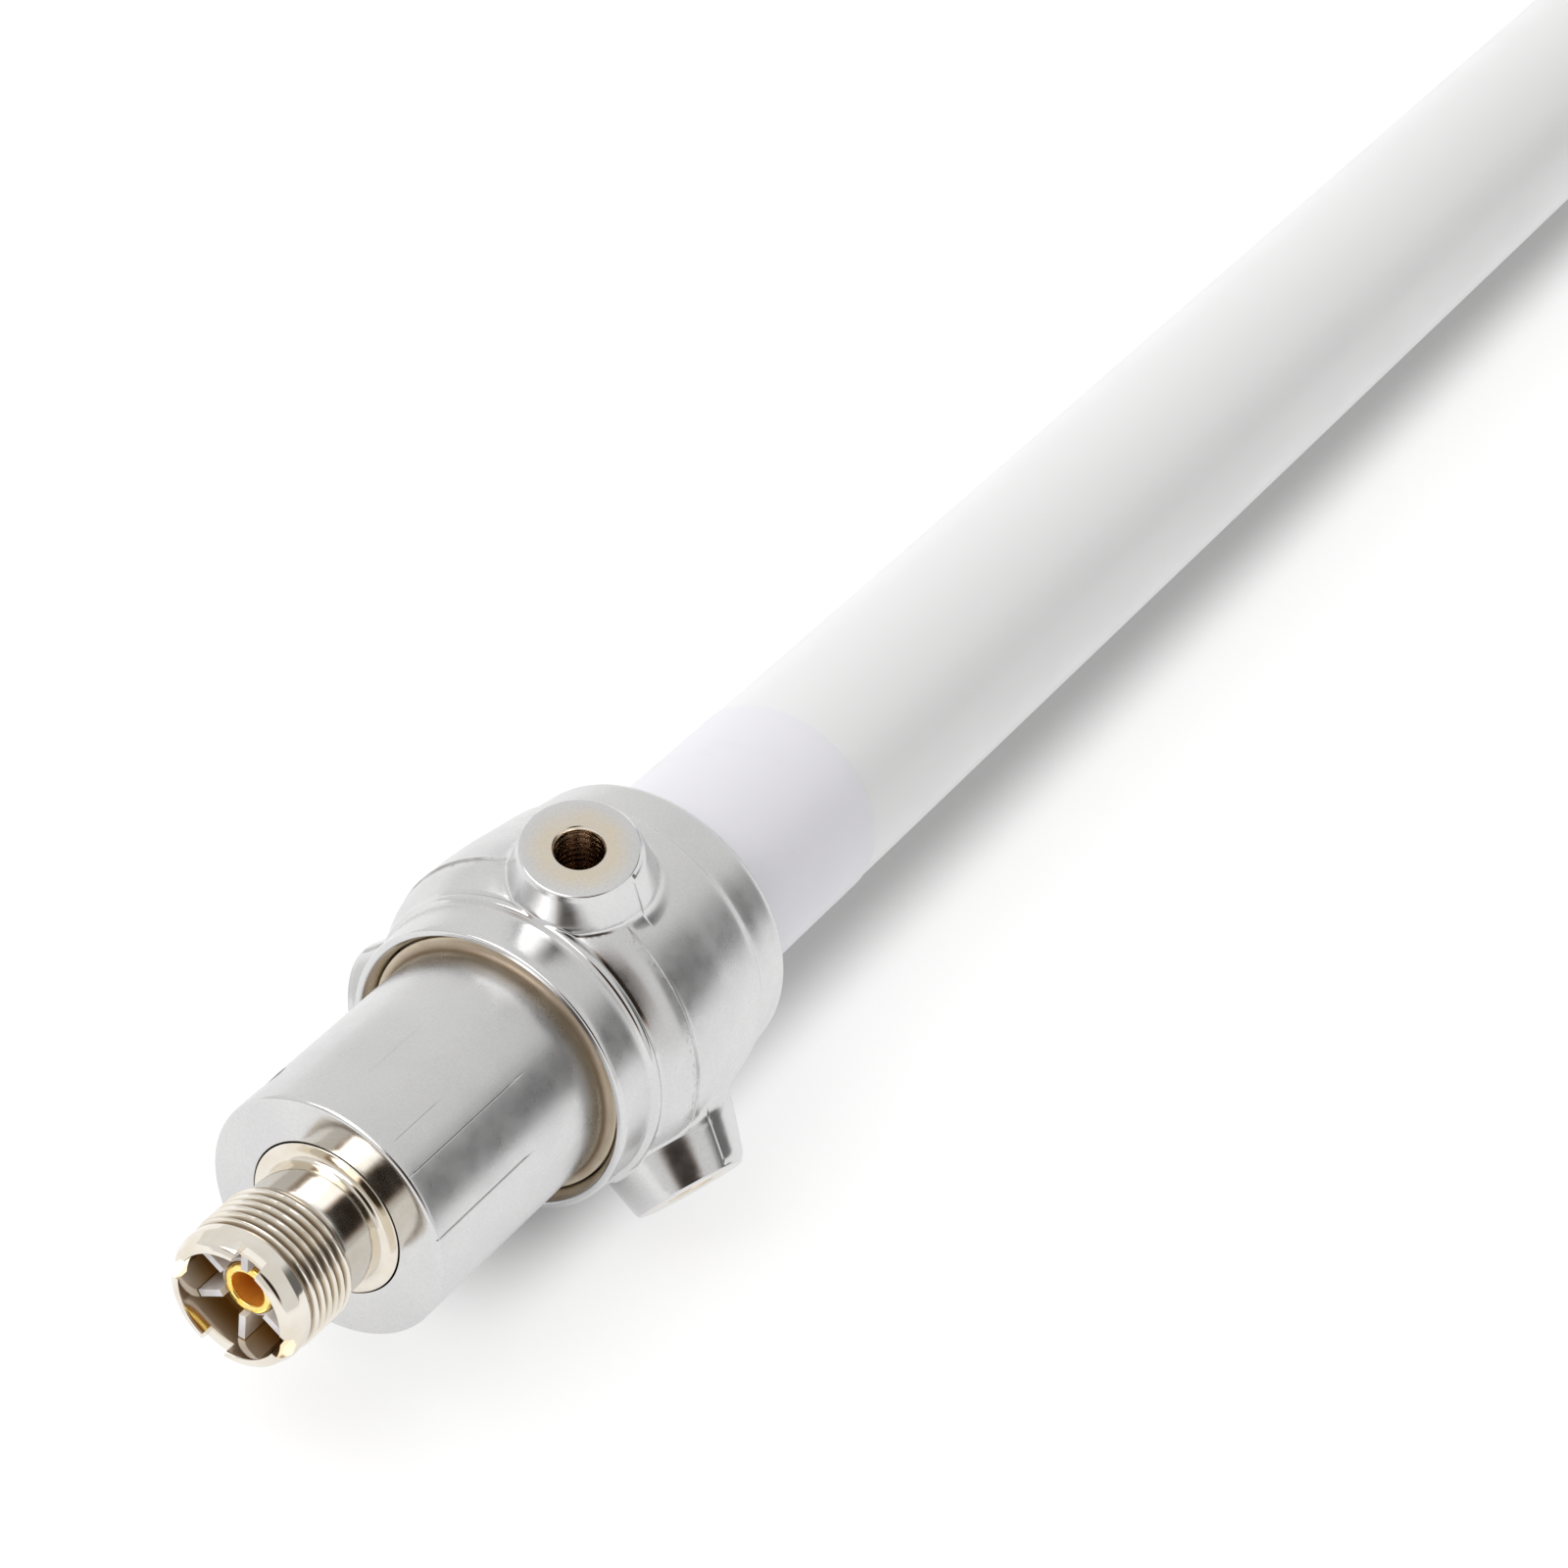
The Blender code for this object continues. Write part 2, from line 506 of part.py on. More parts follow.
def make_radiator():
    copper = material("enamelled_copper", (0.66, 0.26, 0.10), 0.3, 1.0)
    brass = material("drawn_brass", (0.80, 0.62, 0.26), 0.3, 1.0)
    acetal = material("white_acetal", (0.85, 0.85, 0.82), 0.5)
    foam = material("grey_foam", (0.35, 0.35, 0.36), 0.9)
    make_matching_section(copper)
    rod_bore = ROD_RADIUS + GAP
    disc("radiator_bushing", BUSHING_START, BUSHING_START + BUSHING_LENGTH, CORE_FIT_RADIUS, rod_bore, acetal)
    rod("radiator_lower", LOWER_ROD_START, LOWER_ROD_END, ROD_RADIUS, brass)
    rod("radiator_upper", UPPER_ROD_START, UPPER_ROD_END, ROD_RADIUS, brass)

    # former of the phasing coil: a rod with a blind socket in each end
    socket_lower = LOWER_ROD_END + GAP
    socket_upper = UPPER_ROD_START - GAP
    outline = [(socket_upper, 0.0), (socket_upper, rod_bore), (FORMER_END, rod_bore),
               (FORMER_END, FORMER_RADIUS), (FORMER_START, FORMER_RADIUS), (FORMER_START, rod_bore),
               (socket_lower, rod_bore), (socket_lower, 0.0)]
    turned("phasing_former", outline, acetal, CORE_STEPS, closed=False)
    helix_wire("phasing_coil", FORMER_START + 12 * MM, FORMER_END - 12 * MM, FORMER_RADIUS + 1.0 * MM,
               0.6 * MM, 9, copper)

    for index, station in enumerate(SPACER_STATIONS):
        disc(f"centring_spacer_{index + 1}", station, station + SPACER_LENGTH,
             CORE_FIT_RADIUS, rod_bore, foam)
    outline = [(CUSHION_END, 0.0), (CUSHION_END, CORE_FIT_RADIUS), (CUSHION_START, CORE_FIT_RADIUS),
               (CUSHION_START, rod_bore), (UPPER_ROD_END + GAP, rod_bore), (UPPER_ROD_END + GAP, 0.0)]
    turned("tip_cushion", outline, foam, CORE_STEPS, closed=False)


clear_scene()
PARTS = new_collection("omnidirectional_antenna")
CUTTERS = new_collection("cutters")
make_connector()
make_base()
make_radome()
make_radiator()
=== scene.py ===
"""Looks of the omnidirectional antenna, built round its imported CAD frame.

Stations run along the antenna's axis from the sleeve's polished front face, negative towards
the connector. Angles round the axis are counted from straight up towards +Y.
"""
import json
import math

import bmesh
import bpy
import numpy as np
from mathutils import Matrix, Vector


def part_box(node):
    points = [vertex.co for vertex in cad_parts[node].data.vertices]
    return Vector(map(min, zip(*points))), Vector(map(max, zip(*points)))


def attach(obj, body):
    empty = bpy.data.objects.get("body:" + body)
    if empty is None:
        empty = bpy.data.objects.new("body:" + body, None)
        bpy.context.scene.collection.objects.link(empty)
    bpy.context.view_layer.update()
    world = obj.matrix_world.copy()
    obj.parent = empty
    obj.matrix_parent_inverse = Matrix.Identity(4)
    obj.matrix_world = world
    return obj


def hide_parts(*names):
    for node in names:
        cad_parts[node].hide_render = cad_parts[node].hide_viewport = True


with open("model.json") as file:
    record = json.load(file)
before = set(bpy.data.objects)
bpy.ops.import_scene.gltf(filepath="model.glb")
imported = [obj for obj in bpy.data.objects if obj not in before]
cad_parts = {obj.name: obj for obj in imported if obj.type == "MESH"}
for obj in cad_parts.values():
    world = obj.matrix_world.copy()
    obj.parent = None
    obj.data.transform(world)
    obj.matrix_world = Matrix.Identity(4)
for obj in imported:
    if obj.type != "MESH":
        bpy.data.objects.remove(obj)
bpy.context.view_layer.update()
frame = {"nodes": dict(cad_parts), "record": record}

MM = 0.001
SLEEVE_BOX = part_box("base_sleeve")
TUBE_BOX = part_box("radome_tube")
FRONT_X = SLEEVE_BOX[0].x
AXIS_Z = (SLEEVE_BOX[0].z + SLEEVE_BOX[1].z) / 2
TAU = 2 * math.pi

# ---------------------------------------------------------------- dimensions, mm
SLEEVE_RADIUS = 14.2
SLEEVE_STEP = 4.3
SLEEVE_WALL_END = 9.0
SLEEVE_END = 56.0
SLEEVE_CAVITY = 11.0
SLEEVE_CORNER = 0.5
PIPE_STOP = 29.7
COLLAR_RADIUS = 15.45
COLLAR_END = 34.0
# fine lines drawn along the sleeve: angle in degrees, first and last station, depth
SLEEVE_LINES = [
    (-36.5, 0.9, 20.0, 0.10), (-66.0, 0.4, 17.0, 0.09), (7.6, 7.6, 18.0, 0.035), (-22.0, 2.0, 11.0, 0.03),
]
LINE_HALF_WIDTH = 0.11
SCREW_STATION = 5.9
SCREW_ANGLE = 60.0
SCREW_RADIUS = 1.65

RIM_STATION = -16.2
THREAD_CREST = 7.94
THREAD_ROOT = 7.25
THREAD_PITCH = 1.0583
THREAD_FIRST = -12.3
THREAD_LAST = -5.9
THREAD_STEP = 0.053        # spacing of the thread's outline points
NECK_RADIUS = 7.15         # plain part behind the thread, measured in the photo; the CAD's is 8.35
NECK_FILLET = 0.8
SHOULDER_RADIUS = 8.9
SHOULDER_FRONT = -0.1
SHOULDER_GAP = 0.16        # open ring between the shoulder and the sleeve's bore
SOCKET_RADIUS = 6.2
NOTCH_ANGLE = -10.0
NOTCH_WIDTH = 3.0
NOTCH_DEPTH = 1.5
SPOKE_ANGLE = 5.0
SPOKE_WIDTH = 0.8
DIELECTRIC_FRONT = -13.8
POCKET_FLOOR = -9.0
HUB_FRONT = -12.5
CONTACT_FRONT = -13.1
CONTACT_RADIUS = 2.95
CONTACT_BORE = 1.98

PARTING = 39.0
SKIRT_RIM = 28.3
BOSS_STATION = 39.6        # centre of a boss's end face
BOSS_REACH = 24.2
BOSS_TILT = 14.5           # the bosses lean towards the connector
BOSS_RADIUS = 6.4
BOSS_EDGE = 0.26           # rounding of the end face's rim
BOSS_ROOT = -10.5          # heights on a boss are counted from its end face
BOSS_ANGLES = (0.0, -120.0, 120.0)
BOSS_HOLE = 2.62
BOSS_HOLE_BOTTOM = -8.0
TUBE_RADIUS = 12.5
TUBE_BORE = 10.9
RING_END = 61.0
LABEL_START = 61.8
LABEL_END = 87.0
CAP_LENGTH = 24.0
CAP_RADIUS = 13.4

# ---------------------------------------------------------------- studio, metres and degrees
FLOOR_HALF = 40.0
FLOOR_GLOW = 0.69
SKY_LEVEL = 0.82
SKY_LEAST = 0.03
# azimuth and elevation of a patch's centre, inner and outer size in degrees, added strength, warm tint
SKY_PATCHES = [
    (-45, 15, 10, 26, -0.66, False),     # dim wall beyond the tip
    (60, 15, 5, 70, 0.08, False),        # lighter wall on the far side
    (-136, 33, 17, 30, -0.80, True),     # dark room on the connector's side
    (144, 31, 6, 13, -0.5, True),
    (177, 46, 11, 17, 1.2, False),       # softbox over the camera
]
KEY_PLACE = (-1.2, 0.55, 1.15)
KEY_TARGET = (-0.45, 0.0, 0.0)
KEY_SIZE = (0.9, 0.9)
KEY_POWER = 7.5
CAMERA_LENS = 104.91
CAMERA_OFFSET = Vector((-0.279397, -0.162029, 0.333509))     # from the axis at the sleeve's front face
CAMERA_RIGHT = Vector((0.52430268, -0.83390364, 0.17236996))
CAMERA_UP = Vector((0.47699352, 0.45529746, 0.75178548))


# ---------------------------------------------------------------- mesh helpers
class Axis:
    """A turning axis: a start point, the axis direction and two directions across it."""

    def __init__(self, origin, along, zero, quarter):
        self.origin = np.array(origin, float)
        self.along = np.array(along, float)
        self.zero = np.array(zero, float)
        self.quarter = np.array(quarter, float)

    def point(self, height, radius, angle):
        """Row-frame points from heights and radii in mm and angles in radians."""
        h = np.asarray(height, float)[..., None] * MM
        x = (np.asarray(radius, float) * np.cos(angle))[..., None] * MM
        y = (np.asarray(radius, float) * np.sin(angle))[..., None] * MM
        return self.origin + h * self.along + x * self.zero + y * self.quarter


MAIN = Axis((FRONT_X, 0.0, AXIS_Z), (1, 0, 0), (0, 0, 1), (0, 1, 0))


def radial_axis(station, angle_deg, reach=0.0, tilt_deg=0.0):
    """Axis pointing away from the antenna, leaning towards the connector. Zero is the front side."""
    a, tilt = math.radians(angle_deg), math.radians(tilt_deg)
    out = np.array((0.0, math.sin(a), math.cos(a)))
    front = np.array((-1.0, 0.0, 0.0))
    side = (0.0, -math.cos(a), math.sin(a))
    origin = np.array((FRONT_X + station * MM, 0.0, AXIS_Z)) + out * reach * MM
    return Axis(origin, out * math.cos(tilt) + front * math.sin(tilt),
                front * math.cos(tilt) - out * math.sin(tilt), side)


def new_object(name, points, faces):
    mesh = bpy.data.meshes.new(name)
    mesh.from_pydata([tuple(p) for p in points], [], faces)
    bm = bmesh.new()
    bm.from_mesh(mesh)
    bmesh.ops.recalc_face_normals(bm, faces=bm.faces)
    bm.to_mesh(mesh)
    bm.free()
    obj = bpy.data.objects.new(name, mesh)
    bpy.context.scene.collection.objects.link(obj)
    return obj


def skin(rows, count):
    """Faces between neighbouring rows of point numbers. Repeated points make triangles."""
    faces = []
    for upper, lower in zip(rows, rows[1:]):
        for j in range(count):
            k = (j + 1) % count
            ring = [upper[j], upper[k], lower[k], lower[j]]
            face = [int(v) for i, v in enumerate(ring) if v != ring[i - 1]]
            if len(face) > 2:
                faces.append(face)
    return faces


def lathe(name, outline, angles=192, axis=MAIN, closed=True, shift=None):
    """Turned mesh from (height, radius) pairs in mm. shift(height, radius, angles) moves points outwards."""
    if isinstance(angles, int):
        angles = np.arange(angles) * TAU / angles
    count = len(angles)
    points, rows = [], []
    for height, radius in outline:
        if radius < 1e-6:
            rows.append(np.full(count, len(points)))
            points.append(axis.point(height, 0.0, 0.0))
            continue
        reach = np.full(count, float(radius))
        if shift:
            reach = reach + shift(height, radius, angles)
        rows.append(len(points) + np.arange(count))
        points.extend(axis.point(np.full(count, float(height)), reach, angles))
    if closed:
        rows.append(rows[0])
    return new_object(name, points, skin(rows, count))


def rounded(corners, segments=6):
    """Outline from (height, radius, fillet) corners. The first and last corner stay sharp if fillet is 0."""
    outline = []
    for i, (height, radius, fillet) in enumerate(corners):
        corner = np.array((height, radius), float)
        if fillet <= 0:
            outline.append((height, radius))
            continue
        a = np.array(corners[i - 1][:2], float) - corner
        b = np.array(corners[(i + 1) % len(corners)][:2], float) - corner
        a /= np.linalg.norm(a)
        b /= np.linalg.norm(b)
        half = math.acos(max(-1.0, min(1.0, float(a @ b)))) / 2
        centre = corner + (a + b) / np.linalg.norm(a + b) * fillet / math.sin(half)
        va = corner + a * fillet / math.tan(half) - centre
        vb = corner + b * fillet / math.tan(half) - centre
        sweep = math.pi - 2 * half
        for k in range(segments + 1):
            t = k / segments
            v = (math.sin((1 - t) * sweep) * va + math.sin(t * sweep) * vb) / math.sin(sweep)
            outline.append(tuple(centre + v))
    return outline


def dense(outline, step, low=-1e9, high=1e9):
    """Splits an outline's long segments so that none between two stations is longer than step."""
    result = [outline[0]]
    for (h0, r0), (h1, r1) in zip(outline, outline[1:]):
        parts = 1
        if max(h0, h1) > low and min(h0, h1) < high:
            parts = max(1, math.ceil(math.hypot(h1 - h0, r1 - r0) / step))
        result += [(h0 + (h1 - h0) * k / parts, r0 + (r1 - r0) * k / parts) for k in range(1, parts + 1)]
    return result


def flowing(knots, step):
    """Smooth outline through (height, radius) knots: a Catmull-Rom curve."""
    p = np.array(knots, float)
    p = np.vstack([2 * p[0] - p[1], p, 2 * p[-1] - p[-2]])
    result = []
    for i in range(1, len(p) - 2):
        parts = max(1, math.ceil(np.linalg.norm(p[i + 1] - p[i]) / step))
        for k in range(parts):
            t = k / parts
            q = 0.5 * (2 * p[i] + (p[i + 1] - p[i - 1]) * t
                       + (2 * p[i - 1] - 5 * p[i] + 4 * p[i + 1] - p[i + 2]) * t * t
                       + (3 * p[i] - p[i - 1] - 3 * p[i + 1] + p[i + 2]) * t ** 3)
            result.append((float(q[0]), float(q[1])))
    result.append(tuple(knots[-1]))
    return result


def refined(base_step, marks, spread, fine_step):
    """Angles in degrees round a turn, closer together near the marks, as radians."""
    angles = list(np.arange(0, 360, base_step))
    for mark in marks:
        angles = [a for a in angles if abs((a - mark + 180) % 360 - 180) > spread]
        angles += list((mark + np.arange(-spread, spread + fine_step / 2, fine_step)) % 360)
    return np.radians(np.array(sorted(angles)))


def combine(obj, other, operation):
    """Exact boolean of two meshes. The other object is used up."""
    mod = obj.modifiers.new("combine", "BOOLEAN")
    mod.operation = operation
    mod.solver = "EXACT"
    mod.object = other
    depsgraph = bpy.context.evaluated_depsgraph_get()
    mesh = bpy.data.meshes.new_from_object(obj.evaluated_get(depsgraph))
    obj.modifiers.clear()
    obj.data = mesh
    bpy.data.objects.remove(other, do_unlink=True)


def box(name, station, size, turn_deg):
    """Box centred on the antenna's axis and turned about it. Station and size are in mm."""
    half = [s / 2 for s in size]
    points = []
    a = math.radians(turn_deg)
    up = np.array((0, math.sin(a), math.cos(a)))
    side = np.array((0, math.cos(a), -math.sin(a)))
    base = MAIN.origin + np.array((station * MM, 0, 0))
    for i in (-1, 1):
        for j in (-1, 1):
            for k in (-1, 1):
                offset = np.array((i * half[0], 0, 0)) + side * j * half[1] + up * k * half[2]
                points.append(base + offset * MM)
    faces = [(0, 1, 3, 2), (4, 6, 7, 5), (0, 4, 5, 1), (2, 3, 7, 6), (0, 2, 6, 4), (1, 5, 7, 3)]
    return new_object(name, points, faces)


def finish_piece(obj, mat, stands_for, sharp_deg=32):
    mesh = obj.data
    mesh.materials.clear()
    mesh.materials.append(mat)
    mesh.shade_smooth()
    mesh.set_sharp_from_angle(angle=math.radians(sharp_deg))
    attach(obj, "root")
    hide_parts(*stands_for)


def smoothstep(x):
    x = np.clip(x, 0.0, 1.0)
    return x * x * (3 - 2 * x)


BOSS_AXES = [radial_axis(BOSS_STATION, angle, BOSS_REACH, BOSS_TILT) for angle in BOSS_ANGLES]


# ---------------------------------------------------------------- materials
class Nodes:
    """Small helper that wires one material's nodes."""

    def __init__(self, name, color, roughness, metallic=0.0):
        self.mat = bpy.data.materials.new(name)
        self.mat.use_nodes = True
        self.tree = self.mat.node_tree
        self.shader = self.tree.nodes["Principled BSDF"]
        self.shader.inputs["Base Color"].default_value = (*color, 1.0)
        self.shader.inputs["Roughness"].default_value = roughness
        self.shader.inputs["Metallic"].default_value = metallic
        self.coords = self.tree.nodes.new("ShaderNodeTexCoord").outputs["Object"]
        self.parts = None

    def link(self, source, target):
        self.tree.links.new(source, target)

    def math(self, operation, a, b=None):
        node = self.tree.nodes.new("ShaderNodeMath")
        node.operation = operation
        for socket, value in zip(node.inputs, (a, b)):
            if value is None:
                continue
            if isinstance(value, (int, float)):
                socket.default_value = value
            else:
                self.link(value, socket)
        return node.outputs[0]

    def noise(self, scale, detail=3.0, stretch=(1, 1, 1), rough=0.5, distortion=0.0):
        vector = self.coords
        if stretch != (1, 1, 1):
            mapping = self.tree.nodes.new("ShaderNodeMapping")
            mapping.inputs["Scale"].default_value = stretch
            self.link(self.coords, mapping.inputs["Vector"])
            vector = mapping.outputs["Vector"]
        node = self.tree.nodes.new("ShaderNodeTexNoise")
        node.inputs["Scale"].default_value = scale
        node.inputs["Detail"].default_value = detail
        node.inputs["Roughness"].default_value = rough
        node.inputs["Distortion"].default_value = distortion
        self.link(vector, node.inputs["Vector"])
        return node.outputs["Fac"]

    def remap(self, value, low, high, new_low, new_high, smooth=False):
        node = self.tree.nodes.new("ShaderNodeMapRange")
        node.interpolation_type = "SMOOTHSTEP" if smooth else "LINEAR"
        node.clamp = True
        for key, number in (("From Min", low), ("From Max", high), ("To Min", new_low), ("To Max", new_high)):
            node.inputs[key].default_value = number
        self.link(value, node.inputs["Value"])
        return node.outputs["Result"]

    def mix(self, factor, a, b):
        node = self.tree.nodes.new("ShaderNodeMix")
        node.data_type = "RGBA"
        self.link(factor, node.inputs["Factor"])
        for key, value in (("A", a), ("B", b)):
            socket = next(s for s in node.inputs if s.name == key and s.type == "RGBA")
            if isinstance(value, tuple):
                socket.default_value = (*value, 1.0)
            else:
                self.link(value, socket)
        return next(s for s in node.outputs if s.type == "RGBA")

    def split(self):
        if self.parts is None:
            node = self.tree.nodes.new("ShaderNodeSeparateXYZ")
            self.link(self.coords, node.inputs[0])
            self.parts = node.outputs
        return self.parts

    def station(self):
        """Distance along the antenna from the sleeve's front face, in mm."""
        return self.math("MULTIPLY", self.math("SUBTRACT", self.split()["X"], FRONT_X), 1 / MM)

    def height(self):
        """Height above the antenna's axis, in mm."""
        return self.math("MULTIPLY", self.math("SUBTRACT", self.split()["Z"], AXIS_Z), 1 / MM)

    def across(self):
        return self.math("MULTIPLY", self.split()["Y"], 1 / MM)

    def radius(self):
        """Distance from the antenna's axis, in mm."""
        y, z = self.across(), self.height()
        total = self.math("ADD", self.math("MULTIPLY", y, y), self.math("MULTIPLY", z, z))
        return self.math("SQRT", total)

    def about(self, axis):
        """Height along an axis and distance from it, in mm."""
        away = self.tree.nodes.new("ShaderNodeVectorMath")
        away.operation = "SUBTRACT"
        self.link(self.coords, away.inputs[0])
        away.inputs[1].default_value = axis.origin
        dot = self.tree.nodes.new("ShaderNodeVectorMath")
        dot.operation = "DOT_PRODUCT"
        self.link(away.outputs[0], dot.inputs[0])
        dot.inputs[1].default_value = axis.along
        length = self.tree.nodes.new("ShaderNodeVectorMath")
        length.operation = "LENGTH"
        self.link(away.outputs[0], length.inputs[0])
        height = self.math("MULTIPLY", dot.outputs["Value"], 1 / MM)
        reach = self.math("MULTIPLY", length.outputs["Value"], 1 / MM)
        reach_squared, height_squared = (self.math("MULTIPLY", v, v) for v in (reach, height))
        square = self.math("SUBTRACT", reach_squared, height_squared)
        return height, self.math("SQRT", self.math("MAXIMUM", square, 0.0))

    def largest(self, values):
        result = values[0]
        for value in values[1:]:
            result = self.math("MAXIMUM", result, value)
        return result

    def band(self, value, low, high, soft):
        """1 between low and high, fading to 0 over soft."""
        rise = self.remap(value, low - soft, low + soft, 0.0, 1.0, True)
        fall = self.remap(value, high - soft, high + soft, 1.0, 0.0, True)
        return self.math("MULTIPLY", rise, fall)

    def zone(self, places, heights, radii):
        """The band() of heights times that of radii, taken at the nearest of several axes."""
        return self.largest([self.math("MULTIPLY", self.band(h, *heights), self.band(r, *radii))
                             for h, r in places])

    def bump(self, height, distance, strength=1.0):
        node = self.tree.nodes.new("ShaderNodeBump")
        node.inputs["Strength"].default_value = strength
        node.inputs["Distance"].default_value = distance
        self.link(height, node.inputs["Height"])
        last = self.shader.inputs["Normal"].links
        if last:
            self.link(last[0].from_socket, node.inputs["Normal"])
        self.link(node.outputs["Normal"], self.shader.inputs["Normal"])

    def color(self, socket):
        self.link(socket, self.shader.inputs["Base Color"])

    def rough(self, socket):
        self.link(socket, self.shader.inputs["Roughness"])


def satin_chrome():
    """Satin chrome over a zinc casting. Rims, end faces and the front face are polished."""
    n = Nodes("satin_chrome_cast", (0.70, 0.70, 0.70), 0.3, 1.0)
    station, radius = n.station(), n.radius()
    # Pipe-stop groove: painted beige as a painted reflection of the ring's inner wall, and painted brown next
    # to the sleeve as painted shade; it is also rougher.
    groove = n.math("MULTIPLY", n.band(station, 28.9, 30.6, 0.45), n.band(radius, 14.0, 16.1, 0.25))
    depth_shade = n.math("MULTIPLY", groove, n.remap(radius, 14.5, 15.6, 1.0, 0.0, True))
    bosses = [n.about(axis) for axis in BOSS_AXES]
    faces = n.zone(bosses, (-0.28, 2.0, 0.06), (-1.0, 6.8, 0.1))
    near = n.largest([n.band(r, 2.2, 4.9, 1.3) for h, r in bosses])
    bores = n.zone(bosses, (-9.0, -0.22, 0.08), (-1.0, 2.98, 0.05))
    cloud = n.remap(n.noise(90, 3.0), 0.35, 0.7, 0.0, 1.0)
    metal = n.mix(cloud, (0.665, 0.665, 0.67), (0.71, 0.71, 0.71))
    groove_reflection = n.remap(n.noise(260, 4.0), 0.35, 0.65, 0.0, 1.0)
    groove_reflection = n.mix(groove_reflection, (0.68, 0.58, 0.43), (0.78, 0.70, 0.56))
    tone = n.mix(n.math("MULTIPLY", groove, 0.9), metal, groove_reflection)
    tone = n.mix(n.math("MULTIPLY", depth_shade, 0.75), tone, (0.34, 0.26, 0.19))
    patchy = n.remap(n.noise(420, 4.0), 0.3, 0.7, 0.45, 1.0)
    halo = n.math("MULTIPLY", n.math("MULTIPLY", faces, near), patchy)
    tone = n.mix(halo, tone, (0.745, 0.655, 0.51))
    # The tapped holes are painted darker towards their bottoms: painted shade.
    hole_shade = n.largest([n.math("MULTIPLY", n.remap(h, -6.5, -1.2, 1.0, 0.0, True),
                                n.band(r, -1.0, 2.98, 0.05)) for h, r in bosses])
    tone = n.mix(bores, tone, n.mix(hole_shade, (0.84, 0.73, 0.61), (0.22, 0.15, 0.11)))
    # The pressed lines along the sleeve are darkened in colour: painted shade in their creases. The parting
    # line's broken dark marks, the specks and the grit are dirt.
    drawn = n.math("MULTIPLY", n.band(station, 0.7, 21.0, 0.3), n.band(radius, 13.9, 14.165, 0.012))
    parting = n.math("MULTIPLY", n.band(station, 38.82, 39.02, 0.05), n.band(radius, 19.3, 19.9, 0.1))
    smutty = n.math("MULTIPLY", n.band(station, 38.0, 39.1, 0.25), n.band(radius, 19.2, 19.95, 0.1))
    specks = n.math("MULTIPLY", smutty, n.remap(n.noise(1500, 4.0, rough=0.7), 0.5, 0.72, 0.0, 0.55))
    broken = n.remap(n.noise(300, 3.0), 0.4, 0.65, 0.12, 0.6)
    dark = n.largest([n.math("MULTIPLY", drawn, 0.6), n.math("MULTIPLY", parting, broken), specks])
    grit = n.remap(n.noise(3600, 2.0, rough=0.8), 0.36, 0.6, 0.075, 0.0)
    grit = n.math("MULTIPLY", grit, n.math("SUBTRACT", 1.0, bores))
    n.color(n.mix(n.math("MAXIMUM", dark, grit), tone, (0.16, 0.145, 0.135)))
    front = n.band(station, -0.2, 0.25, 0.12)
    lip = n.math("MULTIPLY", n.band(station, 28.0, 28.95, 0.15), n.band(radius, 15.9, 17.6, 0.1))
    bead = n.math("MULTIPLY", n.band(station, 33.0, 34.9, 0.15), n.band(radius, 17.6, 18.4, 0.1))
    walls = n.zone(bosses, (-6.0, 2.0, 0.8), (-1.0, 8.6, 0.5))
    polished = n.largest([front, lip, n.math("MULTIPLY", bead, 1.2), n.math("MULTIPLY", faces, 0.75), bores,
                          n.math("MULTIPLY", walls, 0.55)])
    satin = n.remap(n.noise(420, 4.0), 0.3, 0.7, 0.25, 0.33)
    satin = n.math("SUBTRACT", satin, n.math("MULTIPLY", polished, 0.16))
    n.rough(n.math("ADD", satin, n.math("MULTIPLY", n.math("MAXIMUM", groove, specks), 0.18)))
    grain = n.math("MULTIPLY", n.noise(4200, 4.0, rough=0.7), n.math("SUBTRACT", 1.0, polished))
    n.bump(grain, 0.00001, 0.5)
    return n.mat


def nickel():
    """Bright nickel over brass with fine turning marks. Painted warm shade darkens the thread's roots and the
    run-out, and the socket's inner wall is painted gold further in as a painted reflection of the contact.
    """
    n = Nodes("bright_nickel", (0.78, 0.72, 0.62), 0.1, 1.0)
    station, radius = n.station(), n.radius()
    tint = n.mix(n.remap(n.noise(240, 3.0), 0.35, 0.65, 0.0, 1.0), (0.76, 0.70, 0.60), (0.83, 0.79, 0.72))
    # The socket's inner wall is painted from nickel to gold further in: a painted reflection of the gold
    # contact.
    inside = n.math("MULTIPLY", n.band(station, -16.0, -5.0, 0.2), n.band(radius, 5.6, 6.6, 0.1))
    wall = n.mix(n.remap(station, -15.0, -10.0, 0.0, 1.0, True), (0.74, 0.66, 0.54), (0.80, 0.58, 0.26))
    # Painted shade: the thread's roots and the run-out annulus are painted a dark warm brown.
    root_shade = n.remap(radius, 7.38, 7.84, 0.85, 0.0, True)
    root_shade = n.math("MULTIPLY", n.band(station, -12.9, -5.8, 0.2), root_shade)
    runout_shade = n.math("MULTIPLY", n.band(station, -5.9, -5.6, 0.06), n.band(radius, 7.2, 8.6, 0.1))
    tone = n.mix(n.math("MAXIMUM", root_shade, n.math("MULTIPLY", runout_shade, 0.6)), tint, (0.32, 0.25, 0.18))
    n.color(n.mix(inside, tone, wall))
    n.rough(n.remap(n.noise(700, 4.0), 0.3, 0.7, 0.07, 0.13))
    turning = n.noise(1.0, 2.0, (6000, 200, 200))
    n.bump(turning, 0.000005, 0.3)
    return n.mat


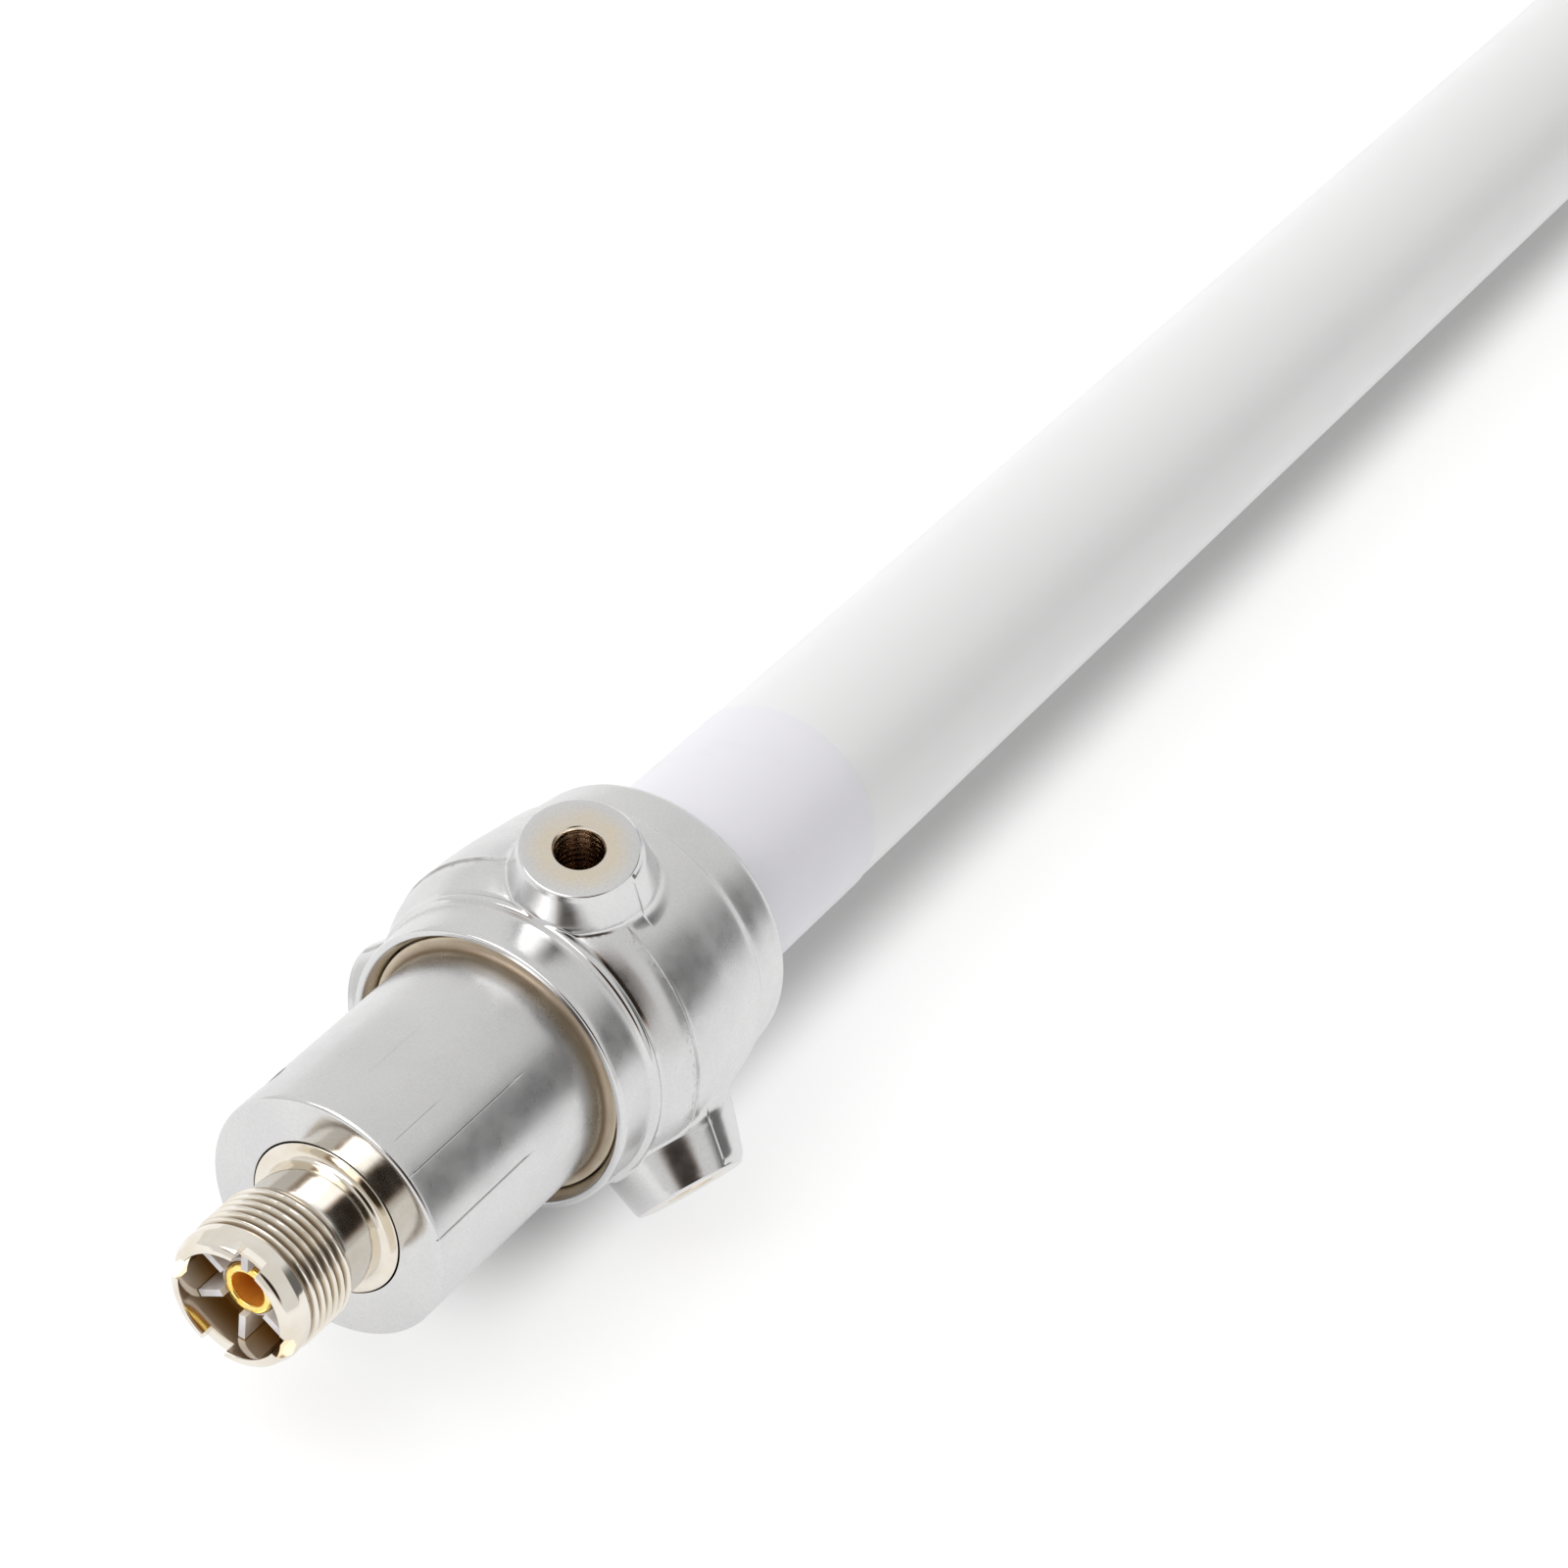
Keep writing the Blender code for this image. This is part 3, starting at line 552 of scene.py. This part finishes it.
def gold():
    """Gold plate: pale yellow on the rim. Inside the contact's bore and on its flank it is painted orange,
    darker further in: painted shade and painted reflection.
    """
    n = Nodes("gold_plate", (1.0, 0.71, 0.18), 0.16, 1.0)
    station, radius = n.station(), n.radius()
    tint = n.mix(n.remap(n.noise(900, 3.0), 0.35, 0.65, 0.0, 1.0), (1.0, 0.70, 0.16), (1.0, 0.83, 0.34))
    # Painted shade and painted reflection: the bore and the contact's flank are painted orange, darker
    # further in.
    bore = n.math("MULTIPLY", n.band(radius, -1.0, 2.2, 0.12), n.band(station, -12.8, 0.0, 0.25))
    flank = n.math("MULTIPLY", n.band(radius, 2.8, 3.2, 0.06), n.band(station, -12.7, 20.0, 0.25))
    inner = n.mix(n.remap(station, -12.5, -6.0, 0.0, 1.0), (0.98, 0.52, 0.08), (0.80, 0.30, 0.03))
    n.color(n.mix(flank, n.mix(bore, tint, inner), (0.95, 0.46, 0.08)))
    n.link(n.math("SUBTRACT", 1.0, n.math("MULTIPLY", bore, 0.45)), n.shader.inputs["Metallic"])
    n.rough(n.math("ADD", n.remap(n.noise(1500, 3.0), 0.3, 0.7, 0.12, 0.22), n.math("MULTIPLY", bore, 0.15)))
    n.bump(n.noise(2600, 3.0), 0.00002, 0.4)
    return n.mat


def dielectric():
    """Ivory moulding, painted browner in the depth of the socket: painted shade and a painted reflection of
    the gold and brass.
    """
    n = Nodes("ivory_dielectric", (0.80, 0.78, 0.76), 0.35)
    n.shader.inputs["Subsurface Weight"].default_value = 0.25
    n.shader.inputs["Subsurface Scale"].default_value = 0.001
    n.shader.inputs["Subsurface Radius"].default_value = (1.0, 0.85, 0.7)
    station = n.station()
    # Painted shade and painted reflection: browner the further into the socket.
    depth_shade = n.remap(station, -13.3, -9.6, 0.0, 1.0, True)
    pale = n.mix(n.remap(n.noise(800, 3.0), 0.35, 0.65, 0.0, 1.0), (0.70, 0.68, 0.71), (0.82, 0.80, 0.81))
    n.color(n.mix(depth_shade, pale, (0.42, 0.28, 0.12)))
    n.rough(n.remap(n.noise(1200, 3.0), 0.3, 0.7, 0.28, 0.45))
    n.bump(n.noise(2000, 3.0), 0.00003, 0.35)
    return n.mat


def painted_tube():
    """White paint on fibreglass: long faint waves, fine orange peel and a few dull patches."""
    n = Nodes("painted_fibreglass", (0.80, 0.805, 0.80), 0.36)
    n.shader.inputs["Coat Weight"].default_value = 0.25
    n.shader.inputs["Coat Roughness"].default_value = 0.22
    cloud = n.remap(n.noise(26, 4.0, (0.35, 1, 1)), 0.3, 0.7, 0.0, 1.0)
    n.color(n.mix(cloud, (0.755, 0.76, 0.768), (0.78, 0.785, 0.792)))
    n.rough(n.remap(n.noise(120, 4.0), 0.3, 0.7, 0.30, 0.44))
    n.bump(n.noise(900, 3.0), 0.00002, 0.4)
    n.bump(n.noise(70, 2.0, (0.3, 1, 1)), 0.00008, 0.3)
    return n.mat


def clear_film():
    """Blank adhesive film: faint lavender with a few smudges."""
    n = Nodes("blank_film", (0.80, 0.80, 0.85), 0.42)
    n.shader.inputs["Coat Weight"].default_value = 0.15
    smudge = n.remap(n.noise(120, 5.0, (1, 0.7, 0.7), 0.6, 0.6), 0.56, 0.70, 0.0, 1.0)
    n.color(n.mix(smudge, (0.755, 0.75, 0.80), (0.725, 0.72, 0.745)))
    n.rough(n.remap(n.noise(160, 4.0), 0.3, 0.7, 0.36, 0.5))
    n.bump(n.noise(260, 3.0), 0.00003, 0.35)
    return n.mat


def moulded(name, low, high, rough_low, rough_high, scale, bump, metallic=0.0, stretch=(1, 1, 1)):
    """Procedural finish for the plainer materials: two tones, varied roughness and a fine bump."""
    n = Nodes(name, low, rough_low, metallic)
    n.color(n.mix(n.remap(n.noise(scale, 4.0, stretch), 0.35, 0.65, 0.0, 1.0), low, high))
    n.rough(n.remap(n.noise(scale * 2.3, 3.0, stretch), 0.3, 0.7, rough_low, rough_high))
    n.bump(n.noise(scale * 5, 3.0, stretch), bump, 0.5)
    return n.mat


CHROME = satin_chrome()
NICKEL = nickel()
GOLD = gold()
IVORY = dielectric()
PAINT = painted_tube()
FILM = clear_film()
CAP_PLASTIC = moulded("cap_plastic", (0.83, 0.84, 0.84), (0.88, 0.885, 0.885), 0.3, 0.45, 160, 0.00004)
SLOT_FINISH = {
    "nickel": NICKEL,
    "rubber": moulded("dark_rubber", (0.030, 0.030, 0.032), (0.060, 0.060, 0.064), 0.6, 0.8, 300, 0.00006),
    "steel": moulded("zinc_steel", (0.55, 0.55, 0.57), (0.68, 0.68, 0.69), 0.28, 0.42, 500, 0.00003, 1.0),
    "laminate": moulded("board_laminate", (0.06, 0.22, 0.09), (0.10, 0.32, 0.14), 0.4, 0.55, 700, 0.00003),
    "copper": moulded("copper_wire", (0.62, 0.24, 0.09), (0.78, 0.36, 0.16), 0.22, 0.36, 600, 0.00002, 1.0),
    "brass": moulded("drawn_brass", (0.74, 0.55, 0.22), (0.86, 0.68, 0.34), 0.25, 0.4, 900, 0.00002, 1.0,
                     (0.02, 1, 1)),
    "ceramic": moulded("dipped_ceramic", (0.66, 0.38, 0.12), (0.76, 0.48, 0.18), 0.45, 0.6, 900, 0.00004),
    "acetal": moulded("white_acetal", (0.80, 0.80, 0.77), (0.86, 0.86, 0.83), 0.4, 0.55, 400, 0.00003),
    "foam": moulded("grey_foam", (0.26, 0.26, 0.27), (0.42, 0.42, 0.43), 0.8, 0.95, 800, 0.0002),
}


# ---------------------------------------------------------------- base sleeve
def sleeve_shift(height, radius, angles):
    """Fine drawn lines pressed into the sleeve's outside."""
    move = np.zeros(len(angles))
    if radius < SLEEVE_RADIUS - SLEEVE_CORNER:
        return move
    for line_deg, first, last, depth in SLEEVE_LINES:
        off = (angles - math.radians(line_deg) + math.pi) % TAU - math.pi
        across = np.abs(off) * SLEEVE_RADIUS / LINE_HALF_WIDTH
        length = smoothstep((height - first + 0.6) / 0.6) * smoothstep((last - height) / 2.5)
        move -= depth * length * (1 - smoothstep(across))
    return move


def make_sleeve():
    bore = SHOULDER_RADIUS + SHOULDER_GAP
    corners = [
        (SLEEVE_END, SLEEVE_RADIUS, 0.0), (COLLAR_END, SLEEVE_RADIUS, 0.0), (COLLAR_END, COLLAR_RADIUS, 0.0),
        (PIPE_STOP, COLLAR_RADIUS, 0.15), (PIPE_STOP, SLEEVE_RADIUS, 0.8),
        (0.0, SLEEVE_RADIUS, SLEEVE_CORNER), (0.0, bore, 0.12), (SLEEVE_STEP, bore, 0.0),
        (SLEEVE_STEP, 6.8, 0.0), (SLEEVE_WALL_END, 6.8, 0.0), (SLEEVE_WALL_END, SLEEVE_CAVITY, 0.0),
        (34.2, SLEEVE_CAVITY, 0.0), (34.2, TUBE_RADIUS + 0.3, 0.0), (SLEEVE_END, TUBE_RADIUS + 0.3, 0.0),
    ]
    outline = dense(rounded(corners, 8), 0.8, -1.0, 30.0)
    angles = refined(2.5, [line[0] % 360 for line in SLEEVE_LINES], 1.5, 0.15)
    sleeve = lathe("sleeve_body", outline, angles, shift=sleeve_shift)
    hole = rounded([(16.0, 0.0, 0.0), (16.0, SCREW_RADIUS + 2.2, 0.0), (14.05, SCREW_RADIUS + 0.25, 0.0),
                    (13.7, SCREW_RADIUS, 0.1), (10.6, SCREW_RADIUS, 0.0), (10.6, 0.0, 0.0)])
    cutter = lathe("screw_cutter", hole, 48, radial_axis(SCREW_STATION, SCREW_ANGLE), False)
    combine(sleeve, cutter, "DIFFERENCE")
    finish_piece(sleeve, CHROME, ["base_sleeve"])


# ---------------------------------------------------------------- ring
HUB_KNOTS = [
    (58.6, 17.45), (56.4, 17.72), (54.9, 17.85), (54.2, 17.98), (53.7, 18.32), (53.0, 18.5),
    (50.5, 18.83), (48.6, 19.08), (46.0, 19.42), (43.0, 19.66), (40.6, 19.74), (39.25, 19.76),
]
HUB_FRONT_KNOTS = [
    (38.85, 19.62), (37.6, 19.48), (36.6, 19.14), (35.8, 18.72), (35.1, 18.28), (34.75, 18.02),
]
BEAD_KNOTS = [(34.6, 17.92), (34.35, 18.06), (33.95, 18.14), (33.55, 18.02), (33.3, 17.7), (33.1, 17.42)]


def hub_outline():
    """Outline of the ring's outer form, and of the bore that is cut from it."""
    outside = rounded([(RING_END, 0.0, 0.0), (RING_END, 17.2, 2.0), (58.6, 17.45, 0.0)], 10)[:-1]
    outside += flowing(HUB_KNOTS, 0.45) + [(PARTING + 0.06, 19.81), (PARTING - 0.06, 19.80)]
    outside += flowing(HUB_FRONT_KNOTS, 0.3) + flowing(BEAD_KNOTS, 0.12)
    outside += dense([(32.9, 17.36), (29.0, 17.22)], 0.6)
    outside += rounded([(29.0, 17.22, 0.0), (SKIRT_RIM, 17.1, 0.32), (SKIRT_RIM, 0.0, 0.0)], 6)[1:]
    inside = [(RING_END + 1.0, 0.0), (RING_END + 1.0, 14.3), (59.0, 14.3), (59.0, 12.75), (56.3, 12.75),
              (56.3, 14.45), (34.3, 14.45), (34.3, 15.7), (PIPE_STOP, 15.7), (29.2, 15.95)]
    mouth = (SKIRT_RIM + 0.3, 16.58)
    for k in range(1, 7):
        a = k / 6 * 1.25
        inside.append((mouth[0] - 0.3 * math.sin(a), mouth[1] - 0.3 * math.cos(a)))
    inside += [(SKIRT_RIM - 1.0, 16.8), (SKIRT_RIM - 1.0, 0.0)]
    return outside, inside


HUB_RADII = sorted((h, r) for h, r in hub_outline()[0] if r > 16.9)


def hub_radius(station):
    table = np.array(HUB_RADII)
    return np.interp(station, table[:, 0], table[:, 1])


BOSS_LEAN = (math.sin(math.radians(BOSS_TILT)), math.cos(math.radians(BOSS_TILT)))


def hub_height(rho, phi):
    """Height of the hub's surface below a boss's end face, at a polar place round its axis."""
    lean, rise = BOSS_LEAN
    toward = rho * np.cos(phi)
    aside = rho * np.sin(phi)
    height = np.full(np.shape(toward), -5.0)
    for _ in range(12):
        station = BOSS_STATION - toward * rise - height * lean
        surface = np.sqrt(np.maximum(hub_radius(station) ** 2 - aside ** 2, 100.0))
        height = (surface - BOSS_REACH + toward * lean) / rise
    return height


def boss_mesh(name, axis):
    """Boss: a flat end face and a wall that widens towards its foot, most behind the parting line."""
    phi = refined(4.0, [92.2, 267.8], 4.0, 0.3)
    count = len(phi)
    turned = np.degrees(np.minimum(phi, TAU - phi))
    behind = smoothstep((turned - 91.5) / 1.4)
    draft = 0.205 + 0.05 * smoothstep((turned - 30.0) / 55.0) + 0.10 * smoothstep((turned - 110.0) / 60.0)
    step = 0.22 * behind
    fillet = 0.35 + 1.1 * smoothstep((turned - 50.0) / 45.0)
    points, rows = [], []

    def add_row(height, rho):
        rows.append(len(points) + np.arange(count))
        points.extend(axis.point(np.broadcast_to(height, (count,)), np.broadcast_to(rho, (count,)), phi))

    rows.append(np.zeros(count, int))
    points.append(axis.point(0.0, 0.0, 0.0))
    for rho in (2.0, 3.4, 4.6, 5.6):
        add_row(0.0, rho)
    edge = BOSS_EDGE
    for k in range(7):
        a = k / 6 * math.pi / 2
        add_row(-edge * (1 - math.cos(a)), BOSS_RADIUS - edge * (1 - math.sin(a)))
    foot = np.full(count, -5.0)
    for _ in range(30):
        wall = BOSS_RADIUS - draft * foot + step
        foot = 0.5 * foot + 0.5 * (hub_height(wall, phi) + fillet)
    for k in range(1, 15):
        t = k / 14
        height = -edge + (foot + edge) * t
        add_row(height, BOSS_RADIUS - draft * height + step * smoothstep(t * 8))
    wall = BOSS_RADIUS - draft * foot + step
    for k in range(1, 11):
        a = k / 10 * math.pi / 2
        rho = wall + fillet * (1 - math.cos(a))
        add_row(hub_height(rho, phi) + fillet * (1 - math.sin(a)) - 0.02 * (k == 10), rho)
    add_row(np.minimum(BOSS_ROOT, foot - 2.0), wall * 0.92)
    rows.append(np.full(count, len(points)))
    points.append(axis.point(BOSS_ROOT - 0.5, 0.0, 0.0))
    return new_object(name, points, skin(rows, count))


def tapped_hole(name, axis):
    """Cutter of a tapped hole: a small countersink, then a helical thread."""
    pitch, depth, start = 0.9, 0.15, -0.42

    def shift(height, radius, angles):
        if radius < BOSS_HOLE - 0.01 or radius > BOSS_HOLE + 0.01:
            return np.zeros(len(angles))
        phase = (height / pitch + angles / TAU) % 1.0
        fade = smoothstep((start - height) / 0.6) * smoothstep((height - BOSS_HOLE_BOTTOM) / 0.8)
        return depth * (1 - np.abs(2 * phase - 1)) * fade

    outline = [(1.0, 0.0), (1.0, BOSS_HOLE + 1.2), (start + 0.3, BOSS_HOLE + 0.14),
               (start + 0.06, BOSS_HOLE + 0.03)]
    outline += [(start - 0.09 * i, BOSS_HOLE) for i in range(82)]
    outline += [(BOSS_HOLE_BOTTOM, BOSS_HOLE - 0.15), (BOSS_HOLE_BOTTOM - 0.4, 0.0)]
    return lathe(name, outline, 64, axis, False, shift)


def make_ring():
    """The outer form and its bosses are joined first, then the bore and the tapped holes are cut."""
    outside, inside = hub_outline()
    ring = lathe("ring_casting", outside, 240, closed=False)
    for i, axis in enumerate(BOSS_AXES):
        combine(ring, boss_mesh(f"boss_{i + 1}", axis), "UNION")
        combine(ring, tapped_hole(f"tapped_{i + 1}", axis), "DIFFERENCE")
    combine(ring, lathe("bore_cutter", inside, 240, closed=False), "DIFFERENCE")
    finish_piece(ring, CHROME, ["radial_ring"])


# ---------------------------------------------------------------- connector
def thread_shift(height, radius, angles):
    """Helical coupling thread, raised from its root."""
    move = np.zeros(len(angles))
    if not (THREAD_FIRST - 0.9 <= height <= THREAD_LAST + 0.2) or abs(radius - THREAD_ROOT) > 1e-6:
        return move
    phase = (height / THREAD_PITCH + angles / TAU) % 1.0
    profile = np.clip((0.5 - np.abs(phase - 0.5)) * 2 * 1.45 - 0.2, 0.0, 1.0)
    fade = smoothstep((height - THREAD_FIRST + 0.35) / 0.5) * smoothstep((THREAD_LAST - height) / 0.35)
    return (THREAD_CREST - THREAD_ROOT) * profile * fade


def make_connector():
    rim = RIM_STATION
    corners = [
        (15.0, 6.1, 0.0), (14.6, 6.5, 0.0), (3.2, 6.5, 0.0), (3.2, SHOULDER_RADIUS, 0.0),
        (SHOULDER_FRONT, SHOULDER_RADIUS, 0.12), (SHOULDER_FRONT, NECK_RADIUS, NECK_FILLET),
        (THREAD_LAST + 0.2, THREAD_ROOT, 0.0),
    ]
    outline = dense(rounded(corners, 6), 0.4, -6.0, 3.3)
    steps = int((THREAD_LAST - THREAD_FIRST + 0.7) / THREAD_STEP)
    outline += [(THREAD_LAST + 0.1 - i * THREAD_STEP, THREAD_ROOT) for i in range(steps)]
    outline += dense(rounded([
        (THREAD_FIRST - 0.4, THREAD_ROOT, 0.0), (THREAD_FIRST - 0.66, 7.74, 0.14), (rim + 2.0, 7.86, 1.2),
        (rim + 0.35, 7.3, 0.75), (rim, 6.72, 0.26), (rim, SOCKET_RADIUS, 0.2), (-6.4, SOCKET_RADIUS, 0.0),
        (-6.4, 4.5, 0.0), (15.0, 4.5, 0.0)], 8), 0.25, rim - 0.1, THREAD_FIRST - 0.2)
    shell = lathe("socket_shell", outline, 160, shift=thread_shift)
    for i in range(2):
        notch = box("notch_cutter", rim, (2 * NOTCH_DEPTH, NOTCH_WIDTH, 20.0), NOTCH_ANGLE + 90 * i)
        combine(shell, notch, "DIFFERENCE")
    finish_piece(shell, NICKEL, ["connector_shell"], 40)

    head, neck, hub = SOCKET_RADIUS - 0.08, 4.2, CONTACT_RADIUS + 0.5
    outline = rounded([
        (15.6, 0.0, 0.0), (15.6, neck, 0.0), (-6.7, neck, 0.0), (-6.7, head, 0.0), (POCKET_FLOOR, head, 0.1),
        (POCKET_FLOOR, hub, 0.25), (HUB_FRONT, hub, 0.12), (HUB_FRONT, 0.0, 0.0)], 5)
    insulator = lathe("socket_dielectric", outline, 96, closed=False)
    depth = POCKET_FLOOR - DIELECTRIC_FRONT
    for i in range(3):
        spoke = box("spoke", DIELECTRIC_FRONT + depth / 2 + 0.12, (depth, SPOKE_WIDTH, 2 * head - 0.1),
                    SPOKE_ANGLE + 60 * i)
        combine(insulator, spoke, "UNION")
    bore = lathe("contact_cutter", [(20.0, 0.0), (20.0, CONTACT_RADIUS + 0.1), (-20.0, CONTACT_RADIUS + 0.1),
                                    (-20.0, 0.0)], 64, closed=False)
    combine(insulator, bore, "DIFFERENCE")
    finish_piece(insulator, IVORY, ["connector_insulator"])

    outline = rounded([
        (16.3, 0.0, 0.0), (16.3, 1.4, 0.0), (19.0, 1.4, 0.0), (19.0, 2.05, 0.1), (16.0, 2.05, 0.0),
        (16.0, CONTACT_RADIUS, 0.2), (CONTACT_FRONT, CONTACT_RADIUS, 0.42),
        (CONTACT_FRONT, CONTACT_BORE, 0.3), (-2.2, CONTACT_BORE, 0.0), (-1.3, 0.0, 0.0)], 6)
    contact = lathe("socket_contact", outline, 96, closed=False)
    finish_piece(contact, GOLD, ["connector_contact"])


# ---------------------------------------------------------------- radome
def make_radome():
    tip = (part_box("top_cap")[1].x - FRONT_X) / MM
    tube_end = (TUBE_BOX[1].x - FRONT_X) / MM
    outline = dense([(tube_end, TUBE_RADIUS), (34.5, TUBE_RADIUS)], 25.0)
    outline += dense([(34.5, TUBE_BORE), (tube_end, TUBE_BORE)], 60.0)
    tube = lathe("painted_tube", outline, 160)
    finish_piece(tube, PAINT, ["radome_tube"])

    inner = TUBE_RADIUS + 0.02

    def ragged(height, radius, angles):
        lift = 0.02 * np.sin(3 * angles + height) + 0.015 * np.sin(7 * angles - 0.4 * height)
        return np.maximum(lift, 0.0) if radius > inner + 0.05 else np.zeros(len(angles))

    outline = rounded([(LABEL_END, inner + 0.11, 0.04), (LABEL_START, inner + 0.11, 0.04),
                       (LABEL_START, inner, 0.0), (LABEL_END, inner, 0.0)], 4)
    film = lathe("film_band", dense(outline, 2.0), 160, shift=ragged)
    finish_piece(film, FILM, ["label_film"])

    outline = rounded([(RING_END - 0.1, 12.56, 0.5), (RING_END - 0.1, 14.24, 0.5),
                       (RING_END - 1.85, 14.24, 0.0), (RING_END - 1.85, 12.56, 0.0)], 6)
    seal = lathe("seal_band", outline, 128)
    finish_piece(seal, SLOT_FINISH["rubber"], ["radome_seal"])

    start = tip - CAP_LENGTH
    corners = [
        (tip, 0.0, 0.0), (tip - 0.15, 5.0, 0.0), (tip - 0.8, CAP_RADIUS, 4.4), (start + 3.0, CAP_RADIUS, 0.0),
        (start + 2.8, 13.2, 0.0), (start + 2.3, 13.2, 0.0), (start + 2.1, CAP_RADIUS, 0.0),
        (start, CAP_RADIUS, 0.5), (start, TUBE_RADIUS + 0.15, 0.25),
        (tube_end + 0.3, TUBE_RADIUS + 0.15, 0.0), (tube_end + 0.3, 0.0, 0.0),
    ]
    cap = lathe("end_cap", rounded(corners, 14), 160, closed=False)
    finish_piece(cap, CAP_PLASTIC, ["top_cap"])


def dress_inner_nodes():
    """The CAD nodes inside the radome keep their shape and get a procedural finish."""
    slots = {s["node"]: s["material_slot"] for s in frame["record"]["subparts"]}
    for name, obj in frame["nodes"].items():
        if obj.hide_render:
            continue
        obj.data.materials.clear()
        obj.data.materials.append(SLOT_FINISH[slots[name]])


# ---------------------------------------------------------------- studio
def make_floor():
    """Pale floor that glows, less so in a strip along the antenna: a painted shadow. The strip has no end
    past the tip.
    """
    n = Nodes("pale_floor", (0.36, 0.36, 0.36), 0.7)
    n.color(n.mix(n.remap(n.noise(3.0, 3.0), 0.3, 0.7, 0.0, 1.0), (0.355, 0.355, 0.355), (0.37, 0.37, 0.37)))
    n.shader.inputs["Emission Color"].default_value = (1.0, 1.0, 1.0, 1.0)
    # Painted shadow: the floor's glow is lowered in a strip beneath the antenna.
    shadow_across = n.remap(n.math("ABSOLUTE", n.across()), 6.0, 17.0, 0.5, 0.0, True)
    painted_shadow = n.math("MULTIPLY", shadow_across, n.remap(n.station(), 8.0, 34.0, 0.0, 1.0, True))
    n.link(n.math("SUBTRACT", FLOOR_GLOW, painted_shadow), n.shader.inputs["Emission Strength"])
    n.shader.inputs["Specular IOR Level"].default_value = 0.15
    mesh = bpy.data.meshes.new("floor")
    half = FLOOR_HALF
    corners = [(-half, -half, 0), (half, -half, 0), (half, half, 0), (-half, half, 0)]
    mesh.from_pydata(corners, [], [(0, 1, 2, 3)])
    mesh.materials.append(n.mat)
    floor = bpy.data.objects.new("floor", mesh)
    bpy.context.scene.collection.objects.link(floor)


def sky_direction(azimuth_deg, elevation_deg):
    a, e = math.radians(azimuth_deg), math.radians(elevation_deg)
    return (math.cos(a) * math.cos(e), math.sin(a) * math.cos(e), math.sin(e))


def make_world():
    """White studio with the soft bright and dark patches that the metal mirrors."""
    world = bpy.data.worlds.new("studio")
    bpy.context.scene.world = world
    world.use_nodes = True
    tree = world.node_tree
    background = tree.nodes["Background"]
    coords = tree.nodes.new("ShaderNodeTexCoord").outputs["Generated"]

    def node_math(operation, a, b):
        node = tree.nodes.new("ShaderNodeMath")
        node.operation = operation
        for socket, value in zip(node.inputs, (a, b)):
            if isinstance(value, (int, float)):
                socket.default_value = value
            else:
                tree.links.new(value, socket)
        return node.outputs[0]

    level, warmth = None, None
    for azimuth, elevation, inner, outer, strength, warm in SKY_PATCHES:
        dot = tree.nodes.new("ShaderNodeVectorMath")
        dot.operation = "DOT_PRODUCT"
        dot.inputs[1].default_value = sky_direction(azimuth, elevation)
        tree.links.new(coords, dot.inputs[0])
        ramp = tree.nodes.new("ShaderNodeMapRange")
        ramp.interpolation_type = "SMOOTHSTEP"
        ramp.inputs["From Min"].default_value = math.cos(math.radians(outer))
        ramp.inputs["From Max"].default_value = math.cos(math.radians(inner))
        tree.links.new(dot.outputs["Value"], ramp.inputs["Value"])
        added = node_math("MULTIPLY", ramp.outputs[0], strength)
        level = added if level is None else node_math("ADD", level, added)
        if warm:
            warmth = ramp.outputs[0] if warmth is None else node_math("MAXIMUM", warmth, ramp.outputs[0])
    level = node_math("MAXIMUM", node_math("ADD", level, SKY_LEVEL), SKY_LEAST)
    tree.links.new(level, background.inputs["Strength"])
    tint = tree.nodes.new("ShaderNodeMix")
    tint.data_type = "RGBA"
    colors = [s for s in tint.inputs if s.type == "RGBA"]
    colors[0].default_value = (1.0, 0.995, 0.985, 1.0)
    colors[1].default_value = (1.0, 0.72, 0.52, 1.0)
    tree.links.new(warmth, tint.inputs["Factor"])
    tree.links.new(next(s for s in tint.outputs if s.type == "RGBA"), background.inputs["Color"])


def add_area(name, location, target, size, power):
    light = bpy.data.lights.new(name, "AREA")
    light.shape = "RECTANGLE"
    light.size, light.size_y = size
    light.energy = power
    obj = bpy.data.objects.new(name, light)
    obj.location = location
    obj.rotation_mode = "QUATERNION"
    obj.rotation_quaternion = (Vector(target) - Vector(location)).to_track_quat("-Z", "Y")
    bpy.context.scene.collection.objects.link(obj)


def make_camera():
    """The photo's camera, from a fit to the circles and stations seen in it."""
    cam = bpy.data.cameras.new("camera")
    cam.sensor_width = 36.0
    cam.lens = CAMERA_LENS
    cam.clip_start, cam.clip_end = 0.01, 200.0
    obj = bpy.data.objects.new("camera", cam)
    right, up = CAMERA_RIGHT, CAMERA_UP
    back = right.cross(up)
    obj.matrix_world = Matrix((
        (right.x, up.x, back.x, FRONT_X + CAMERA_OFFSET.x),
        (right.y, up.y, back.y, CAMERA_OFFSET.y),
        (right.z, up.z, back.z, AXIS_Z + CAMERA_OFFSET.z),
        (0, 0, 0, 1)))
    bpy.context.scene.collection.objects.link(obj)
    bpy.context.scene.camera = obj


make_sleeve()
make_ring()
make_connector()
make_radome()
dress_inner_nodes()
make_floor()
make_world()
add_area("key", KEY_PLACE, KEY_TARGET, KEY_SIZE, KEY_POWER)
make_camera()
bpy.context.scene.view_settings.view_transform = "Standard"
